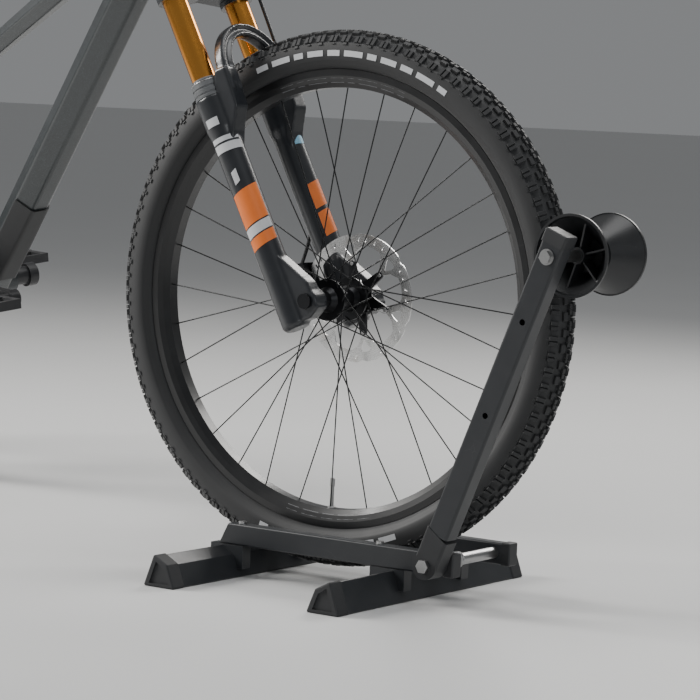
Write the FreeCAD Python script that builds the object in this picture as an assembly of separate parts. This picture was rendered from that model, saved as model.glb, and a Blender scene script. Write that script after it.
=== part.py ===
"""Trail bicycle held by its front wheel in a sprung-arm floor stand.

Millimetres. +X points forward, +Y to the bicycle's left, +Z up.
The origin lies on the floor under the middle of the stand's front foot bar.
The bicycle's rear half is first built straight ahead and then turned about
the steering axis, because the parked bicycle leans with its bars turned.
"""
import FreeCAD, Part
import math
import os

from FreeCAD import Vector

# ---- stand -------------------------------------------------------------
BAR_SPACING = 271.0          # front foot bar to rear foot bar
BAR_HALF_LENGTH = 228.0
CAP_HALF_LENGTH = 232.0
CAP_DEPTH = 26.0
BAR_SECTION = [(-25.0, 0.0), (-11.8, 31.0), (8.6, 43.2), (25.0, 0.0)]
CAP_GROWTH = 1.5
BEAM_INNER_Y = 62.0
BEAM_OUTER_Y = 82.0
BEAM_BOTTOM = 44.5
BEAM_TOP = 74.5
BEAM_FRONT = 91.0
BEAM_REAR = -283.0
BEAM_REAR_SLANT = 15.0
BEAM_WALL = 2.5
PIVOT = Vector(78.0, 0.0, 60.5)
PIVOT_R = 6.0
ARM_OUTER_Y = -112.0
ARM_INNER_Y = -84.5
ARM_HALF_WIDTH = 16.5
ARM_ANGLE = math.radians(68.6)
ARM_LENGTH = 451.0           # pivot to roller axle
ROLLER_RIM_R = 55.0
ROLLER_HALF_WIDTH = 52.5
ROLLER_WAIST_R = 28.0
ROLLER_AXLE_R = 5.0

# ---- wheels ------------------------------------------------------------
TYRE_R = 372.0
TYRE_CROWN_R = 30.0          # radius of the tyre's rounded tread section
TYRE_WALL = 3.0
BEAD_SEAT_R = 311.0
RIM_FLANGE_R = 317.0
RIM_INNER_R = 292.0
RIM_HALF_WIDTH = 17.5
SPOKES_PER_SIDE = 16
SPOKE_R = 0.9
FLANGE_HALF = 1.2            # half the thickness of a hub flange
HUB = Vector(-151.2, 0.0, 393.3)
FRONT_AXLE_R = 7.5
REAR_AXLE_R = 6.0
FRONT_ROTOR_R = 90.0
REAR_ROTOR_R = 80.0
FRONT_ROTOR_Y = 43.5
REAR_ROTOR_Y = 58.5
ROTOR_THICKNESS = 1.8
RUNNING_GAP = 0.05

# ---- fork --------------------------------------------------------------
HEAD_ANGLE = math.radians(62.0)
LEG_SETBACK = 34.0           # front axle ahead of the leg axis
STEER_SETBACK = 8.0          # leg axis ahead of the steering axis
LEG_Y = 73.0
LEG_R = 20.5
LEG_BORE_R = 17.9
STANCHION_R = 17.5
LEG_BOTTOM = -27.0
LEG_TOP = 322.0
SEAL_TOP = 350.0
SEAL_R = 22.1
CROWN_BOTTOM = 475.0
CROWN_TOP = 528.0
STANCHION_FOOT = 180.0

# ---- cockpit -----------------------------------------------------------
HEAD_BOTTOM = 545.0
HEAD_TOP = 672.0
STEM_BOTTOM = 705.0
STEM_TOP = 745.0
STEERER_R = 14.3
STEM_REACH = 48.0
BAR_R = 15.9
GRIP_BAR_R = 11.1
BAR_RISE = 22.0
BAR_HALF_SPAN = 380.0
GRIP_LENGTH = 132.0
BAR_BACK = 42.0

# ---- frame, built straight ahead ---------------------------------------
PARK_TURN = -17.7            # degrees about the steering axis
DOWN_TUBE_S = 622.0
DOWN_TUBE_ANGLE = math.radians(47.0)
DOWN_TUBE_STRAIGHT = 690.0
GUARD_START = 600.0          # down the tube from the steering axis
TOP_TUBE_S = 640.0
TOP_TUBE_ANGLE = math.radians(25.4)
BOTTOM_BRACKET = Vector(-1026.0, 0.0, 335.0)
SEAT_ANGLE = math.radians(73.7)
SEAT_TUBE_LENGTH = 412.0
STAY_LENGTH = 436.0
SADDLE_HEIGHT = 700.0
CRANK_LENGTH = 170.0
PEDAL_HOLE_R = 7.0
CHAINRING_TEETH = 32
COG_TEETH = [51, 45, 39, 33, 28, 24, 21, 18, 16, 14, 12, 10]
FIRST_COG_Y = -27.2
COG_STEP = 3.1
CHAIN_Y = -52.0
CHAIN_PITCH = 12.7

ALONG_Y = Vector(0, 1, 0)
STEER_AXIS = Vector(-math.cos(HEAD_ANGLE), 0, math.sin(HEAD_ANGLE))
FORK_FORWARD = Vector(math.sin(HEAD_ANGLE), 0, math.cos(HEAD_ANGLE))
LEG_FOOT = HUB - FORK_FORWARD * LEG_SETBACK
STEER_FOOT = LEG_FOOT - FORK_FORWARD * STEER_SETBACK
ARM_DIRECTION = Vector(math.cos(ARM_ANGLE), 0, math.sin(ARM_ANGLE))
ARM_FORWARD = Vector(math.sin(ARM_ANGLE), 0, -math.cos(ARM_ANGLE))
ROLLER = PIVOT + ARM_DIRECTION * ARM_LENGTH


# ---- building blocks ---------------------------------------------------
def rod(start, end, radius):
    """Solid cylinder from start to end."""
    run = end - start
    return Part.makeCylinder(radius, run.Length, start, run)


def sleeve(start, end, outer, inner):
    """Cylinder from start to end with a bore right through."""
    run = end - start
    return Part.makeCylinder(outer, run.Length, start, run).cut(
        Part.makeCylinder(inner, run.Length, start, run))


def slab(points, run):
    """Prism of a polygon pushed along run."""
    return Part.Face(Part.makePolygon(points + [points[0]])).extrude(run)


def y_slab(points, low, high):
    """Prism between two Y planes from (x, z) points."""
    return slab([Vector(x, low, z) for x, z in points], Vector(0, high - low, 0))


def spun(profile, centre):
    """Closed (y, radius) polygon turned about the Y line through centre."""
    points = [centre + Vector(0, y, r) for y, r in profile]
    face = Part.Face(Part.makePolygon(points + [points[0]]))
    return face.revolve(centre, ALONG_Y, 360)


def joined(shapes):
    """One solid from touching or overlapping shapes."""
    first = shapes[0]
    return first.fuse(shapes[1:]).removeSplitter()


def softened(shape, radius, keep=lambda edge: True):
    """The shape with its chosen straight edges rounded."""
    edges = [e for e in shape.Edges
             if e.Curve.TypeId == "Part::GeomLine" and e.Length > 3 * radius and keep(e)]
    return shape.makeFillet(radius, edges)


def runs_along(direction):
    """Picks edges parallel to a direction."""
    unit = Vector(direction).normalize()

    def test(edge):
        run = (edge.Vertexes[1].Point - edge.Vertexes[0].Point).normalize()
        return abs(run.dot(unit)) > 0.999
    return test


def group(shapes):
    """Separate solids kept together in one node."""
    return Part.makeCompound(shapes)


def bent_rod(points, radius):
    """Round rod of straight runs joined by tangent arcs, its bend radii and its length."""
    edges = []
    radii = []
    here = points[0]
    for before, corner, after in zip(points, points[1:], points[2:]):
        back = before - corner
        on = after - corner
        trim = 0.45 * min(back.Length, on.Length)
        half = back.getAngle(on) / 2
        bend_r = trim * math.tan(half)
        radii.append(round(bend_r))
        back.normalize()
        on.normalize()
        start = corner + back * trim
        end = corner + on * trim
        middle = corner + (back + on).normalize() * (bend_r / math.sin(half) - bend_r)
        edges.append(Part.LineSegment(here, start).toShape())
        edges.append(Part.Arc(start, middle, end).toShape())
        here = end
    edges.append(Part.LineSegment(here, points[-1]).toShape())
    path = Part.Wire(edges)
    disc = Part.Wire(Part.makeCircle(radius, points[0], points[1] - points[0]))
    return path.makePipeShell([disc], True, False), radii, path.Length


def on_arm(along, across, y):
    """Point on the stand's arm: along it, across it, and its Y."""
    return PIVOT + ARM_DIRECTION * along + ARM_FORWARD * across + Vector(0, y, 0)


def arm_slab(points, low, high):
    """Prism between two Y planes from (along, across) points."""
    return slab([on_arm(a, c, low) for a, c in points], Vector(0, high - low, 0))


def on_fork(along, ahead, y):
    """Point in the fork: along its legs, ahead of their axis, and its Y."""
    return LEG_FOOT + STEER_AXIS * along + FORK_FORWARD * ahead + Vector(0, y, 0)


def fork_slab(points, low, high):
    """Prism between two Y planes from (along, ahead) points."""
    return slab([on_fork(s, u, low) for s, u in points], Vector(0, high - low, 0))


def on_steerer(along, ahead=0.0, y=0.0):
    """Point measured from the steering axis."""
    return on_fork(along, ahead - STEER_SETBACK, y)


def turned(shape):
    """The shape turned to the parked steering angle."""
    done = shape.copy()
    done.rotate(STEER_FOOT, STEER_AXIS, PARK_TURN)
    return done


def turned_point(point):
    """A straight-ahead point at the parked steering angle."""
    rotation = FreeCAD.Rotation(STEER_AXIS, PARK_TURN)
    return STEER_FOOT + rotation.multVec(point - STEER_FOOT)


def save(node, shape):
    """Write one node's STEP file."""
    shape.exportStep("parts/" + node + ".step")


def rear_axle_point():
    """Rear axle, straight ahead, so that the leaning tyre stands on the floor."""
    rotation = FreeCAD.Rotation(STEER_AXIS, PARK_TURN)
    lean = rotation.multVec(ALONG_Y).z
    ring = TYRE_R - TYRE_CROWN_R
    wanted = ring * math.sqrt(1 - lean * lean) + TYRE_CROWN_R
    height = BOTTOM_BRACKET.z
    for _ in range(6):
        back = math.sqrt(STAY_LENGTH ** 2 - (height - BOTTOM_BRACKET.z) ** 2)
        guess = Vector(BOTTOM_BRACKET.x - back, 0, height)
        height += wanted - turned_point(guess).z
    back = math.sqrt(STAY_LENGTH ** 2 - (height - BOTTOM_BRACKET.z) ** 2)
    return Vector(BOTTOM_BRACKET.x - back, 0, height)


REAR_HUB = rear_axle_point()


# ---- stand -------------------------------------------------------------
def bar_outline(centre_x, outward, growth=0.0):
    """Triangular foot bar section; outward is +1 at the front, -1 at the rear."""
    points = []
    for x, z in BAR_SECTION:
        wide = x + math.copysign(growth, x)
        points.append((centre_x + outward * wide, z + growth * (z > 0)))
    return points


def foot_bars():
    bars = []
    for centre_x, outward in ((0.0, 1), (-BAR_SPACING, -1)):
        outline = bar_outline(centre_x, outward)
        bar = y_slab(outline, -BAR_HALF_LENGTH + 4, BAR_HALF_LENGTH - 4)
        bars.append(softened(bar, 2.0, runs_along(ALONG_Y)))
    return bars


def foot_caps(bars):
    caps = []
    for centre_x, outward in ((0.0, 1), (-BAR_SPACING, -1)):
        outline = bar_outline(centre_x, outward, CAP_GROWTH)
        for side in (-1, 1):
            edges = sorted((side * CAP_HALF_LENGTH, side * (CAP_HALF_LENGTH - CAP_DEPTH)))
            cap = softened(y_slab(outline, edges[0], edges[1]), 2.4)
            inset = [(centre_x + outward * x * 0.66, 5 + z * 0.70) for x, z in BAR_SECTION]
            face_edges = sorted((side * (CAP_HALF_LENGTH + 1), side * (CAP_HALF_LENGTH - 2.5)))
            cap = cap.cut(y_slab(inset, face_edges[0], face_edges[1]))
            caps.append(cap.cut(Part.makeCompound(bars)))
    return caps


def side_beams():
    outline = [(BEAM_REAR, BEAM_BOTTOM), (BEAM_FRONT, BEAM_BOTTOM),
               (BEAM_FRONT, BEAM_TOP), (BEAM_REAR + BEAM_REAR_SLANT, BEAM_TOP)]
    beams = []
    for low in (-BEAM_OUTER_Y, BEAM_INNER_Y):
        high = low + BEAM_OUTER_Y - BEAM_INNER_Y
        beam = softened(y_slab(outline, low, high), 3.0, runs_along(Vector(1, 0, 0)))
        hollow = [(BEAM_REAR + 18, BEAM_BOTTOM + BEAM_WALL), (BEAM_FRONT + 1, BEAM_BOTTOM + BEAM_WALL),
                  (BEAM_FRONT + 1, BEAM_TOP - BEAM_WALL), (BEAM_REAR + 24, BEAM_TOP - BEAM_WALL)]
        beam = beam.cut(y_slab(hollow, low + BEAM_WALL, high - BEAM_WALL))
        shaft = rod(Vector(PIVOT.x, low - 1, PIVOT.z), Vector(PIVOT.x, high + 1, PIVOT.z), PIVOT_R)
        beams.append(beam.cut(shaft))
    return beams


def beam_end_caps(beams):
    caps = []
    for low in (-BEAM_OUTER_Y, BEAM_INNER_Y):
        high = low + BEAM_OUTER_Y - BEAM_INNER_Y
        front = [(BEAM_FRONT, BEAM_BOTTOM - 1), (BEAM_FRONT + 13, BEAM_BOTTOM - 1),
                 (BEAM_FRONT + 13, BEAM_TOP + 1), (BEAM_FRONT, BEAM_TOP + 1)]
        plug = [(BEAM_FRONT - 6, BEAM_BOTTOM + 3.5), (BEAM_FRONT, BEAM_BOTTOM + 3.5),
                (BEAM_FRONT, BEAM_TOP - 3.5), (BEAM_FRONT - 6, BEAM_TOP - 3.5)]
        hood = softened(y_slab(front, low - 1, high + 1), 2.4,
                        lambda edge: edge.CenterOfMass.x > BEAM_FRONT + 1)
        caps.append(joined([hood, y_slab(plug, low + 3.5, high - 3.5)]))
    return caps


def beam_saddles(bars):
    """Cradle blocks that seat each beam on each foot bar."""
    blocks = []
    for centre_x, outward in ((0.0, 1), (-BAR_SPACING, -1)):
        outline = [(centre_x - 29 * outward, 12), (centre_x - 29 * outward, BEAM_BOTTOM),
                   (centre_x + 27 * outward, BEAM_BOTTOM), (centre_x + 27 * outward, 16),
                   (centre_x + 12 * outward, 16)]
        for low in (-BEAM_OUTER_Y + 1, BEAM_INNER_Y + 1):
            block = y_slab(outline, low, low + BEAM_OUTER_Y - BEAM_INNER_Y - 2)
            blocks += block.cut(Part.makeCompound(bars)).Solids
    return blocks


def base_bolts():
    """Cap-head bolts through each beam into its saddle."""
    bolts = []
    for x in (-20.0, -BAR_SPACING + 20.0):
        for y in (-72.0, 72.0):
            head = rod(Vector(x, y, BEAM_TOP), Vector(x, y, BEAM_TOP + 3.5), 5.5)
            bolts.append(head)
    return bolts


def pivot_shaft():
    start = Vector(PIVOT.x, ARM_OUTER_Y - 7, PIVOT.z)
    washer = Vector(PIVOT.x, ARM_OUTER_Y - 1.2, PIVOT.z)
    end = Vector(PIVOT.x, BEAM_OUTER_Y + 6, PIVOT.z)
    hexagon = [(PIVOT.x + 9.5 * math.cos(math.radians(60 * i)),
                PIVOT.z + 9.5 * math.sin(math.radians(60 * i))) for i in range(6)]
    return joined([rod(start, end, PIVOT_R), y_slab(hexagon, start.y, washer.y),
                   rod(Vector(PIVOT.x, BEAM_OUTER_Y + 0.2, PIVOT.z), end, 9.0)])


def spring_sleeve():
    """Tube on the shaft between the beams that the torsion spring turns on."""
    gap = 0.5
    return sleeve(Vector(PIVOT.x, -BEAM_INNER_Y + gap, PIVOT.z),
                  Vector(PIVOT.x, BEAM_INNER_Y - gap, PIVOT.z), 8.0, PIVOT_R)


def torsion_spring():
    """Coil beside the near beam with one leg resting under the beam."""
    wire_r = 1.6
    coil_r = 10.2
    pitch = 4.4
    helix = Part.makeHelix(pitch, pitch * 6, coil_r)
    helix.rotate(Vector(0, 0, 0), Vector(1, 0, 0), -90)
    helix.translate(Vector(PIVOT.x, -BEAM_INNER_Y + 6, PIVOT.z))
    edge = helix.Edges[0]
    start = edge.valueAt(edge.FirstParameter)
    tangent = edge.tangentAt(edge.FirstParameter)
    section = Part.Wire(Part.makeCircle(wire_r, start, tangent))
    return Part.Wire(helix).makePipeShell([section], True, True)


def arm_tube():
    half = ARM_HALF_WIDTH
    body = arm_slab([(46, -half), (46, half), (468, half), (468, -half)], ARM_OUTER_Y, ARM_INNER_Y)
    body = softened(body, 3.6, runs_along(ARM_DIRECTION))
    wall = 2.5
    hollow = arm_slab([(40, -half + wall), (40, half - wall), (480, half - wall), (480, -half + wall)],
                      ARM_OUTER_Y + wall, ARM_INNER_Y - wall)
    body = body.cut(hollow)
    for along in (224.0, 359.0):
        body = body.cut(rod(on_arm(along, 1.5, ARM_OUTER_Y - 1), on_arm(along, 1.5, ARM_OUTER_Y + 5), 4.2))
    bore = rod(on_arm(ARM_LENGTH, 0, ARM_OUTER_Y - 1), on_arm(ARM_LENGTH, 0, ARM_INNER_Y + 1), ROLLER_AXLE_R)
    return body.cut(bore)


def arm_sleeve(tube):
    """Forged lower end of the arm that turns on the pivot shaft."""
    half = ARM_HALF_WIDTH + 1.8
    body = arm_slab([(0, -half), (0, half), (42, half), (52, -half)], ARM_OUTER_Y - 1, ARM_INNER_Y + 0.8)
    body = softened(body, 3.6, runs_along(ARM_DIRECTION))
    boss = rod(on_arm(0, 0, ARM_OUTER_Y - 1), on_arm(0, 0, ARM_INNER_Y + 0.8), half)
    body = joined([body, boss]).cut(tube)
    shaft = rod(on_arm(0, 0, ARM_OUTER_Y - 2), on_arm(0, 0, ARM_INNER_Y + 2), PIVOT_R + RUNNING_GAP)
    body = body.cut(shaft)
    return max(body.Solids, key=lambda solid: solid.Volume)


def arm_top_cap():
    half = ARM_HALF_WIDTH + 1.2
    outer = ARM_OUTER_Y - 1
    inner = ARM_INNER_Y + 0.8
    hood = arm_slab([(468, -half), (468, half), (486, half), (486, -half)], outer, inner)
    hood = softened(hood, 2.8, lambda edge: (edge.CenterOfMass - on_arm(470, 0, 0)).dot(ARM_DIRECTION) > 0)
    plug = arm_slab([(462, -ARM_HALF_WIDTH + 3), (462, ARM_HALF_WIDTH - 3),
                     (468, ARM_HALF_WIDTH - 3), (468, -ARM_HALF_WIDTH + 3)],
                    ARM_OUTER_Y + 3, ARM_INNER_Y - 3)
    return joined([hood, plug])


def roller_axle():
    """Hex-head bolt through the arm that carries the roller, with its end nut."""
    hexagon = [(ARM_LENGTH + 8.5 * math.cos(math.radians(60 * i)),
                8.5 * math.sin(math.radians(60 * i))) for i in range(6)]
    shank = rod(on_arm(ARM_LENGTH, 0, ARM_OUTER_Y - 6), on_arm(ARM_LENGTH, 0, 58), ROLLER_AXLE_R)
    shoulder = rod(on_arm(ARM_LENGTH, 0, ARM_INNER_Y), on_arm(ARM_LENGTH, 0, -36.5), 8.0)
    nut = arm_slab(hexagon, 47.0, 55.0)
    washer = rod(on_arm(ARM_LENGTH, 0, ARM_OUTER_Y - 1.4), on_arm(ARM_LENGTH, 0, ARM_OUTER_Y), 10.5)
    return joined([shank, shoulder, arm_slab(hexagon, ARM_OUTER_Y - 7, ARM_OUTER_Y - 1.4), nut, washer])


def roller_cone(side):
    """Hollow funnel, open outwards, with a hub boss and six ribs."""
    rim = ROLLER_HALF_WIDTH
    waist = 4.2
    bore = ROLLER_AXLE_R + RUNNING_GAP
    shell = [(0.25, bore), (0.25, ROLLER_WAIST_R - 2), (waist, ROLLER_WAIST_R - 2), (waist, ROLLER_WAIST_R),
             (rim - 4, ROLLER_RIM_R - 1.6),
             (rim - 3.4, ROLLER_RIM_R), (rim, ROLLER_RIM_R), (rim, ROLLER_RIM_R - 3.4),
             (rim - 6, ROLLER_RIM_R - 4.6), (waist + 4, ROLLER_WAIST_R - 5), (waist + 4, 12.0),
             (36.0, 11.0), (36.0, bore)]
    body = spun([(side * y, r) for y, r in shell], ROLLER)
    for i in range(6):
        angle = math.radians(60 * i + 15)
        rib = [ROLLER + Vector(0, side * y, r) for y, r in
               ((waist + 3, 10.5), (waist + 3, ROLLER_WAIST_R - 4), (38.0, 47.5), (33.0, 10.5))]
        blade = slab([p + Vector(-1.2, 0, 0) for p in rib], Vector(2.4, 0, 0))
        blade.rotate(ROLLER, ALONG_Y, math.degrees(angle))
        body = body.fuse(blade)
    return max(body.removeSplitter().Solids, key=lambda solid: solid.Volume)


# ---- wheels ------------------------------------------------------------
def tyre(centre):
    """Hollow tyre: round tread, side walls and two beads."""
    ring = TYRE_R - TYRE_CROWN_R
    reach = 27.5
    lift = math.sqrt(TYRE_CROWN_R ** 2 - reach ** 2)
    inner_r = TYRE_CROWN_R - TYRE_WALL - 2

    def at(y, r):
        return centre + Vector(0, y, r)

    def line(a, b):
        return Part.LineSegment(at(*a), at(*b)).toShape()

    outside = [(reach, ring + lift), (28.6, 340.0), (25.5, 326.0), (19.0, 317.6), (14.6, 317.2),
               (14.6, BEAD_SEAT_R + 0.3), (11.8, BEAD_SEAT_R + 0.3), (11.8, 317.0), (16.0, 321.0),
               (22.0, 328.5), (inner_r, 341.0)]
    edges = [Part.Arc(at(-reach, ring + lift), at(0, TYRE_R), at(reach, ring + lift)).toShape()]
    edges += [line(a, b) for a, b in zip(outside, outside[1:])]
    edges.append(Part.Arc(at(inner_r, 341.0), at(0, ring + inner_r), at(-inner_r, 341.0)).toShape())
    mirrored = [(-y, r) for y, r in reversed(outside)]
    edges += [line(a, b) for a, b in zip(mirrored, mirrored[1:])]
    wire = Part.Wire(Part.__sortEdges__(edges))
    return Part.Face(wire).revolve(centre, ALONG_Y, 360)


def rim(centre):
    half = RIM_HALF_WIDTH
    outer = [(half, RIM_FLANGE_R), (half - 2.6, RIM_FLANGE_R), (half - 2.6, BEAD_SEAT_R), (11.0, BEAD_SEAT_R),
             (9.0, 307.5), (-9.0, 307.5), (-11.0, BEAD_SEAT_R), (-half + 2.6, BEAD_SEAT_R),
             (-half + 2.6, RIM_FLANGE_R), (-half, RIM_FLANGE_R), (-half, 308.0), (-15.0, 300.0),
             (-8.5, RIM_INNER_R), (8.5, RIM_INNER_R), (15.0, 300.0), (half, 308.0)]
    chamber = [(13.8, 307.0), (12.5, 300.6), (7.5, 294.4), (-7.5, 294.4), (-12.5, 300.6), (-13.8, 307.0),
               (-10.0, 305.0), (10.0, 305.0)]
    return spun(outer, centre).cut(spun(chamber, centre))


def spokes(centre, right_y, left_y, flange_r):
    """Three-cross lacing, each spoke its own rod from flange to rim."""
    step = 360.0 / SPOKES_PER_SIDE
    cross = 1.5 * step
    rods = []
    for flange_y, shift in ((right_y, 0.0), (left_y, step / 2)):
        for i in range(SPOKES_PER_SIDE):
            lean = cross if i % 2 else -cross
            hub_angle = math.radians(i * step + shift)
            rim_angle = math.radians(i * step + shift + 2 * lean)
            beside = FLANGE_HALF + SPOKE_R + 0.1
            start_y = flange_y + (beside if i % 2 else -beside)
            start = centre + Vector(flange_r * math.sin(hub_angle), start_y, flange_r * math.cos(hub_angle))
            tilt = 3.0 if flange_y > 0 else -3.0
            end = centre + Vector((RIM_INNER_R - 0.4) * math.sin(rim_angle), tilt,
                                  (RIM_INNER_R - 0.4) * math.cos(rim_angle))
            rods.append(rod(start, end, SPOKE_R))
    return rods


def hub_shell(centre, half_width, right_y, left_y, axle_r, rotor_face):
    """Hub shell with two spoke flanges and a rotor seat on the left."""
    bore = axle_r + RUNNING_GAP
    near = right_y - FLANGE_HALF
    far = left_y + FLANGE_HALF
    profile = [(-half_width, bore), (-half_width, 11.0), (right_y - 9, 13.0), (near, 18.0), (near, 29.0),
               (near + 2 * FLANGE_HALF, 29.0), (near + 2 * FLANGE_HALF, 19.0), (right_y + 9, 15.0),
               (left_y - 9, 15.0), (far - 2 * FLANGE_HALF, 19.0), (far - 2 * FLANGE_HALF, 30.0), (far, 30.0),
               (far, 21.0), (rotor_face, 21.0), (rotor_face, 16.9), (rotor_face + 2.4, 16.9),
               (rotor_face + 2.4, 13.0), (half_width, 11.0), (half_width, bore)]
    return spun(profile, centre)


def rotor(centre, plane_y, outer):
    """Brake rotor with a scalloped rim, six arms and a six-bolt centre."""
    low = centre + Vector(0, plane_y - ROTOR_THICKNESS / 2, 0)
    up = Vector(0, ROTOR_THICKNESS, 0)
    disc = Part.makeCylinder(outer, ROTOR_THICKNESS, low, ALONG_Y)
    disc = disc.cut(Part.makeCylinder(outer - 15, ROTOR_THICKNESS, low, ALONG_Y))
    centre_ring = Part.makeCylinder(27, ROTOR_THICKNESS, low, ALONG_Y)
    arms = []
    holes = [Part.makeCylinder(17, ROTOR_THICKNESS, low, ALONG_Y)]
    for i in range(6):
        angle = math.radians(60 * i)
        sweep = math.radians(60 * i + 32)
        tip = outer - 12
        root = Vector(math.cos(angle), 0, math.sin(angle))
        end = Vector(math.cos(sweep), 0, math.sin(sweep))
        side = (end * tip - root * 22).cross(ALONG_Y).normalize() * 4.5
        foot = low + root * 22
        head = low + end * tip
        corners = [foot + side, head + side, head - side, foot - side]
        arms.append(slab(corners, up))
        holes.append(Part.makeCylinder(2.6, ROTOR_THICKNESS, low + root * 22, ALONG_Y))
    return joined([disc, centre_ring] + arms).cut(Part.makeCompound(holes))


# ---- fork --------------------------------------------------------------
def fork_arch():
    """Hollowed bridge in front of the legs, over the tyre."""
    def wire(half_low, half_high, low, shoulder, crest, ahead):
        def at(s, y):
            return on_fork(s, ahead, y)
        edges = [Part.LineSegment(at(low, half_low), at(shoulder, half_high)).toShape(),
                 Part.Arc(at(shoulder, half_high), at(crest, 0), at(shoulder, -half_high)).toShape(),
                 Part.LineSegment(at(shoulder, -half_high), at(low, -half_low)).toShape()]
        edges.append(Part.LineSegment(at(low, -half_low), at(low, half_low)).toShape())
        return Part.Face(Part.Wire(edges))

    depth = FORK_FORWARD * 22
    outer = wire(86, 80, 262, 346, 421, 25).extrude(depth)
    inner = wire(55, 55, 240, 346, 402, 20).extrude(FORK_FORWARD * 32)
    return outer.cut(inner)


def fork_lowers():
    pieces = [fork_arch()]
    bores = []
    for side in (-1, 1):
        pieces.append(rod(on_fork(LEG_BOTTOM + 6, 0, side * LEG_Y), on_fork(LEG_TOP, 0, side * LEG_Y), LEG_R))
        pieces.append(Part.makeCone(13, LEG_R, 16, on_fork(LEG_BOTTOM, 0, side * LEG_Y), STEER_AXIS))
        pieces.append(rod(on_fork(272, 0, side * LEG_Y), on_fork(LEG_TOP, 0, side * LEG_Y), LEG_R + 2.5))
        edges = sorted((side * 84.0, side * 55.2))
        web = [(-20, 0), (78, 8), (74, 19), (24, 47), (-16, 50), (-24, 30)]
        pieces.append(fork_slab(web, side * 72 - 11, side * 72 + 11))
        pieces.append(rod(HUB + Vector(0, edges[0], 0), HUB + Vector(0, edges[1], 0), 17.0))
        brace = [(262, 8), (262, 30), (330, 32), (330, 8)]
        pieces.append(fork_slab(brace, side * 70 - 15, side * 70 + 15))
        bores.append(rod(on_fork(30, 0, side * LEG_Y), on_fork(SEAL_TOP, 0, side * LEG_Y), LEG_BORE_R))
        bores.append(rod(on_fork(LEG_TOP, 0, side * LEG_Y), on_fork(SEAL_TOP, 0, side * LEG_Y), SEAL_R))
    bores.append(rod(HUB + Vector(0, -90, 0), HUB + Vector(0, 90, 0), FRONT_AXLE_R))
    whole = joined(pieces).cut(Part.makeCompound(bores))
    return max(whole.Solids, key=lambda solid: solid.Volume)


def fork_seals():
    seals = []
    for side in (-1, 1):
        y = side * LEG_Y
        bore = STANCHION_R + RUNNING_GAP
        lip = sleeve(on_fork(LEG_TOP, 0, y), on_fork(SEAL_TOP - 5, 0, y), SEAL_R, bore)
        edge = sleeve(on_fork(SEAL_TOP - 5, 0, y), on_fork(SEAL_TOP, 0, y), SEAL_R - 1.2, bore)
        seals.append(joined([lip, edge]))
    return seals


def front_axle():
    head = rod(HUB + Vector(0, -88.5, 0), HUB + Vector(0, -84, 0), 10.5)
    shank = rod(HUB + Vector(0, -84, 0), HUB + Vector(0, 85.5, 0), FRONT_AXLE_R)
    return joined([head, shank])


def front_caliper(leg):
    """Two-piston brake body astride the rotor, behind the left leg."""
    outline = [(18, -26), (24, -50), (74, -52), (84, -40), (80, -23)]
    body = fork_slab(outline, 30, 58)
    slot = fork_slab([(10, -15), (10, -60), (95, -60), (95, -15)], FRONT_ROTOR_Y - 2.2, FRONT_ROTOR_Y + 2.2)
    bridge = fork_slab([(74, -52), (84, -40), (80, -23), (73, -30)], 30, 58)
    lugs = [fork_slab([(s, -38), (s + 14, -38), (s + 14, -12), (s, -12)], 58, 70) for s in (22, 66)]
    body = joined([body.cut(slot.cut(bridge))] + lugs).cut(leg)
    wheel_room = Part.makeCylinder(FRONT_ROTOR_R + 1.5, 5.0, HUB + Vector(0, FRONT_ROTOR_Y - 2.5, 0), ALONG_Y)
    body = body.cut(wheel_room)
    return max(body.Solids, key=lambda solid: solid.Volume)


def stanchions():
    return [rod(on_fork(STANCHION_FOOT, 0, side * LEG_Y),
                on_fork(CROWN_TOP - 4, 0, side * LEG_Y), STANCHION_R)
            for side in (-1, 1)]


def fork_crown(legs):
    """Crown and tapered steerer in one."""
    pieces = [rod(on_steerer(CROWN_BOTTOM + 14), on_steerer(STEM_TOP), STEERER_R),
              Part.makeCone(19.5, STEERER_R, 50, on_steerer(CROWN_TOP), STEER_AXIS)]
    for side in (-1, 1):
        pieces.append(rod(on_fork(CROWN_BOTTOM, 0, side * LEG_Y), on_fork(CROWN_TOP, 0, side * LEG_Y), 23.5))
        web = [on_fork(CROWN_BOTTOM + 3, -17, side * LEG_Y), on_fork(CROWN_BOTTOM + 3, 17, side * LEG_Y),
               on_fork(CROWN_BOTTOM + 16, 14, 0), on_fork(CROWN_BOTTOM + 16, -26, 0)]
        pieces.append(slab(web, STEER_AXIS * 34))
    pieces.append(rod(on_steerer(CROWN_BOTTOM + 14), on_steerer(CROWN_TOP + 4), 24.5))
    body = joined(pieces).cut(Part.makeCompound(legs))
    return max(body.Solids, key=lambda solid: solid.Volume)


def headset():
    """Lower race, upper cover and three stem spacers."""
    rings = [sleeve(on_steerer(CROWN_TOP + 4), on_steerer(HEAD_BOTTOM - 12.4), 24.5, 19.6)]
    rings.append(sleeve(on_steerer(HEAD_TOP + 0.4), on_steerer(HEAD_TOP + 12), 23.0, STEERER_R))
    for i in range(3):
        base = HEAD_TOP + 12 + 7 * i
        rings.append(sleeve(on_steerer(base), on_steerer(base + 7), 17.6, STEERER_R))
    return rings


def bar_centre():
    return on_steerer((STEM_BOTTOM + STEM_TOP) / 2 + 4, STEM_REACH)


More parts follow.
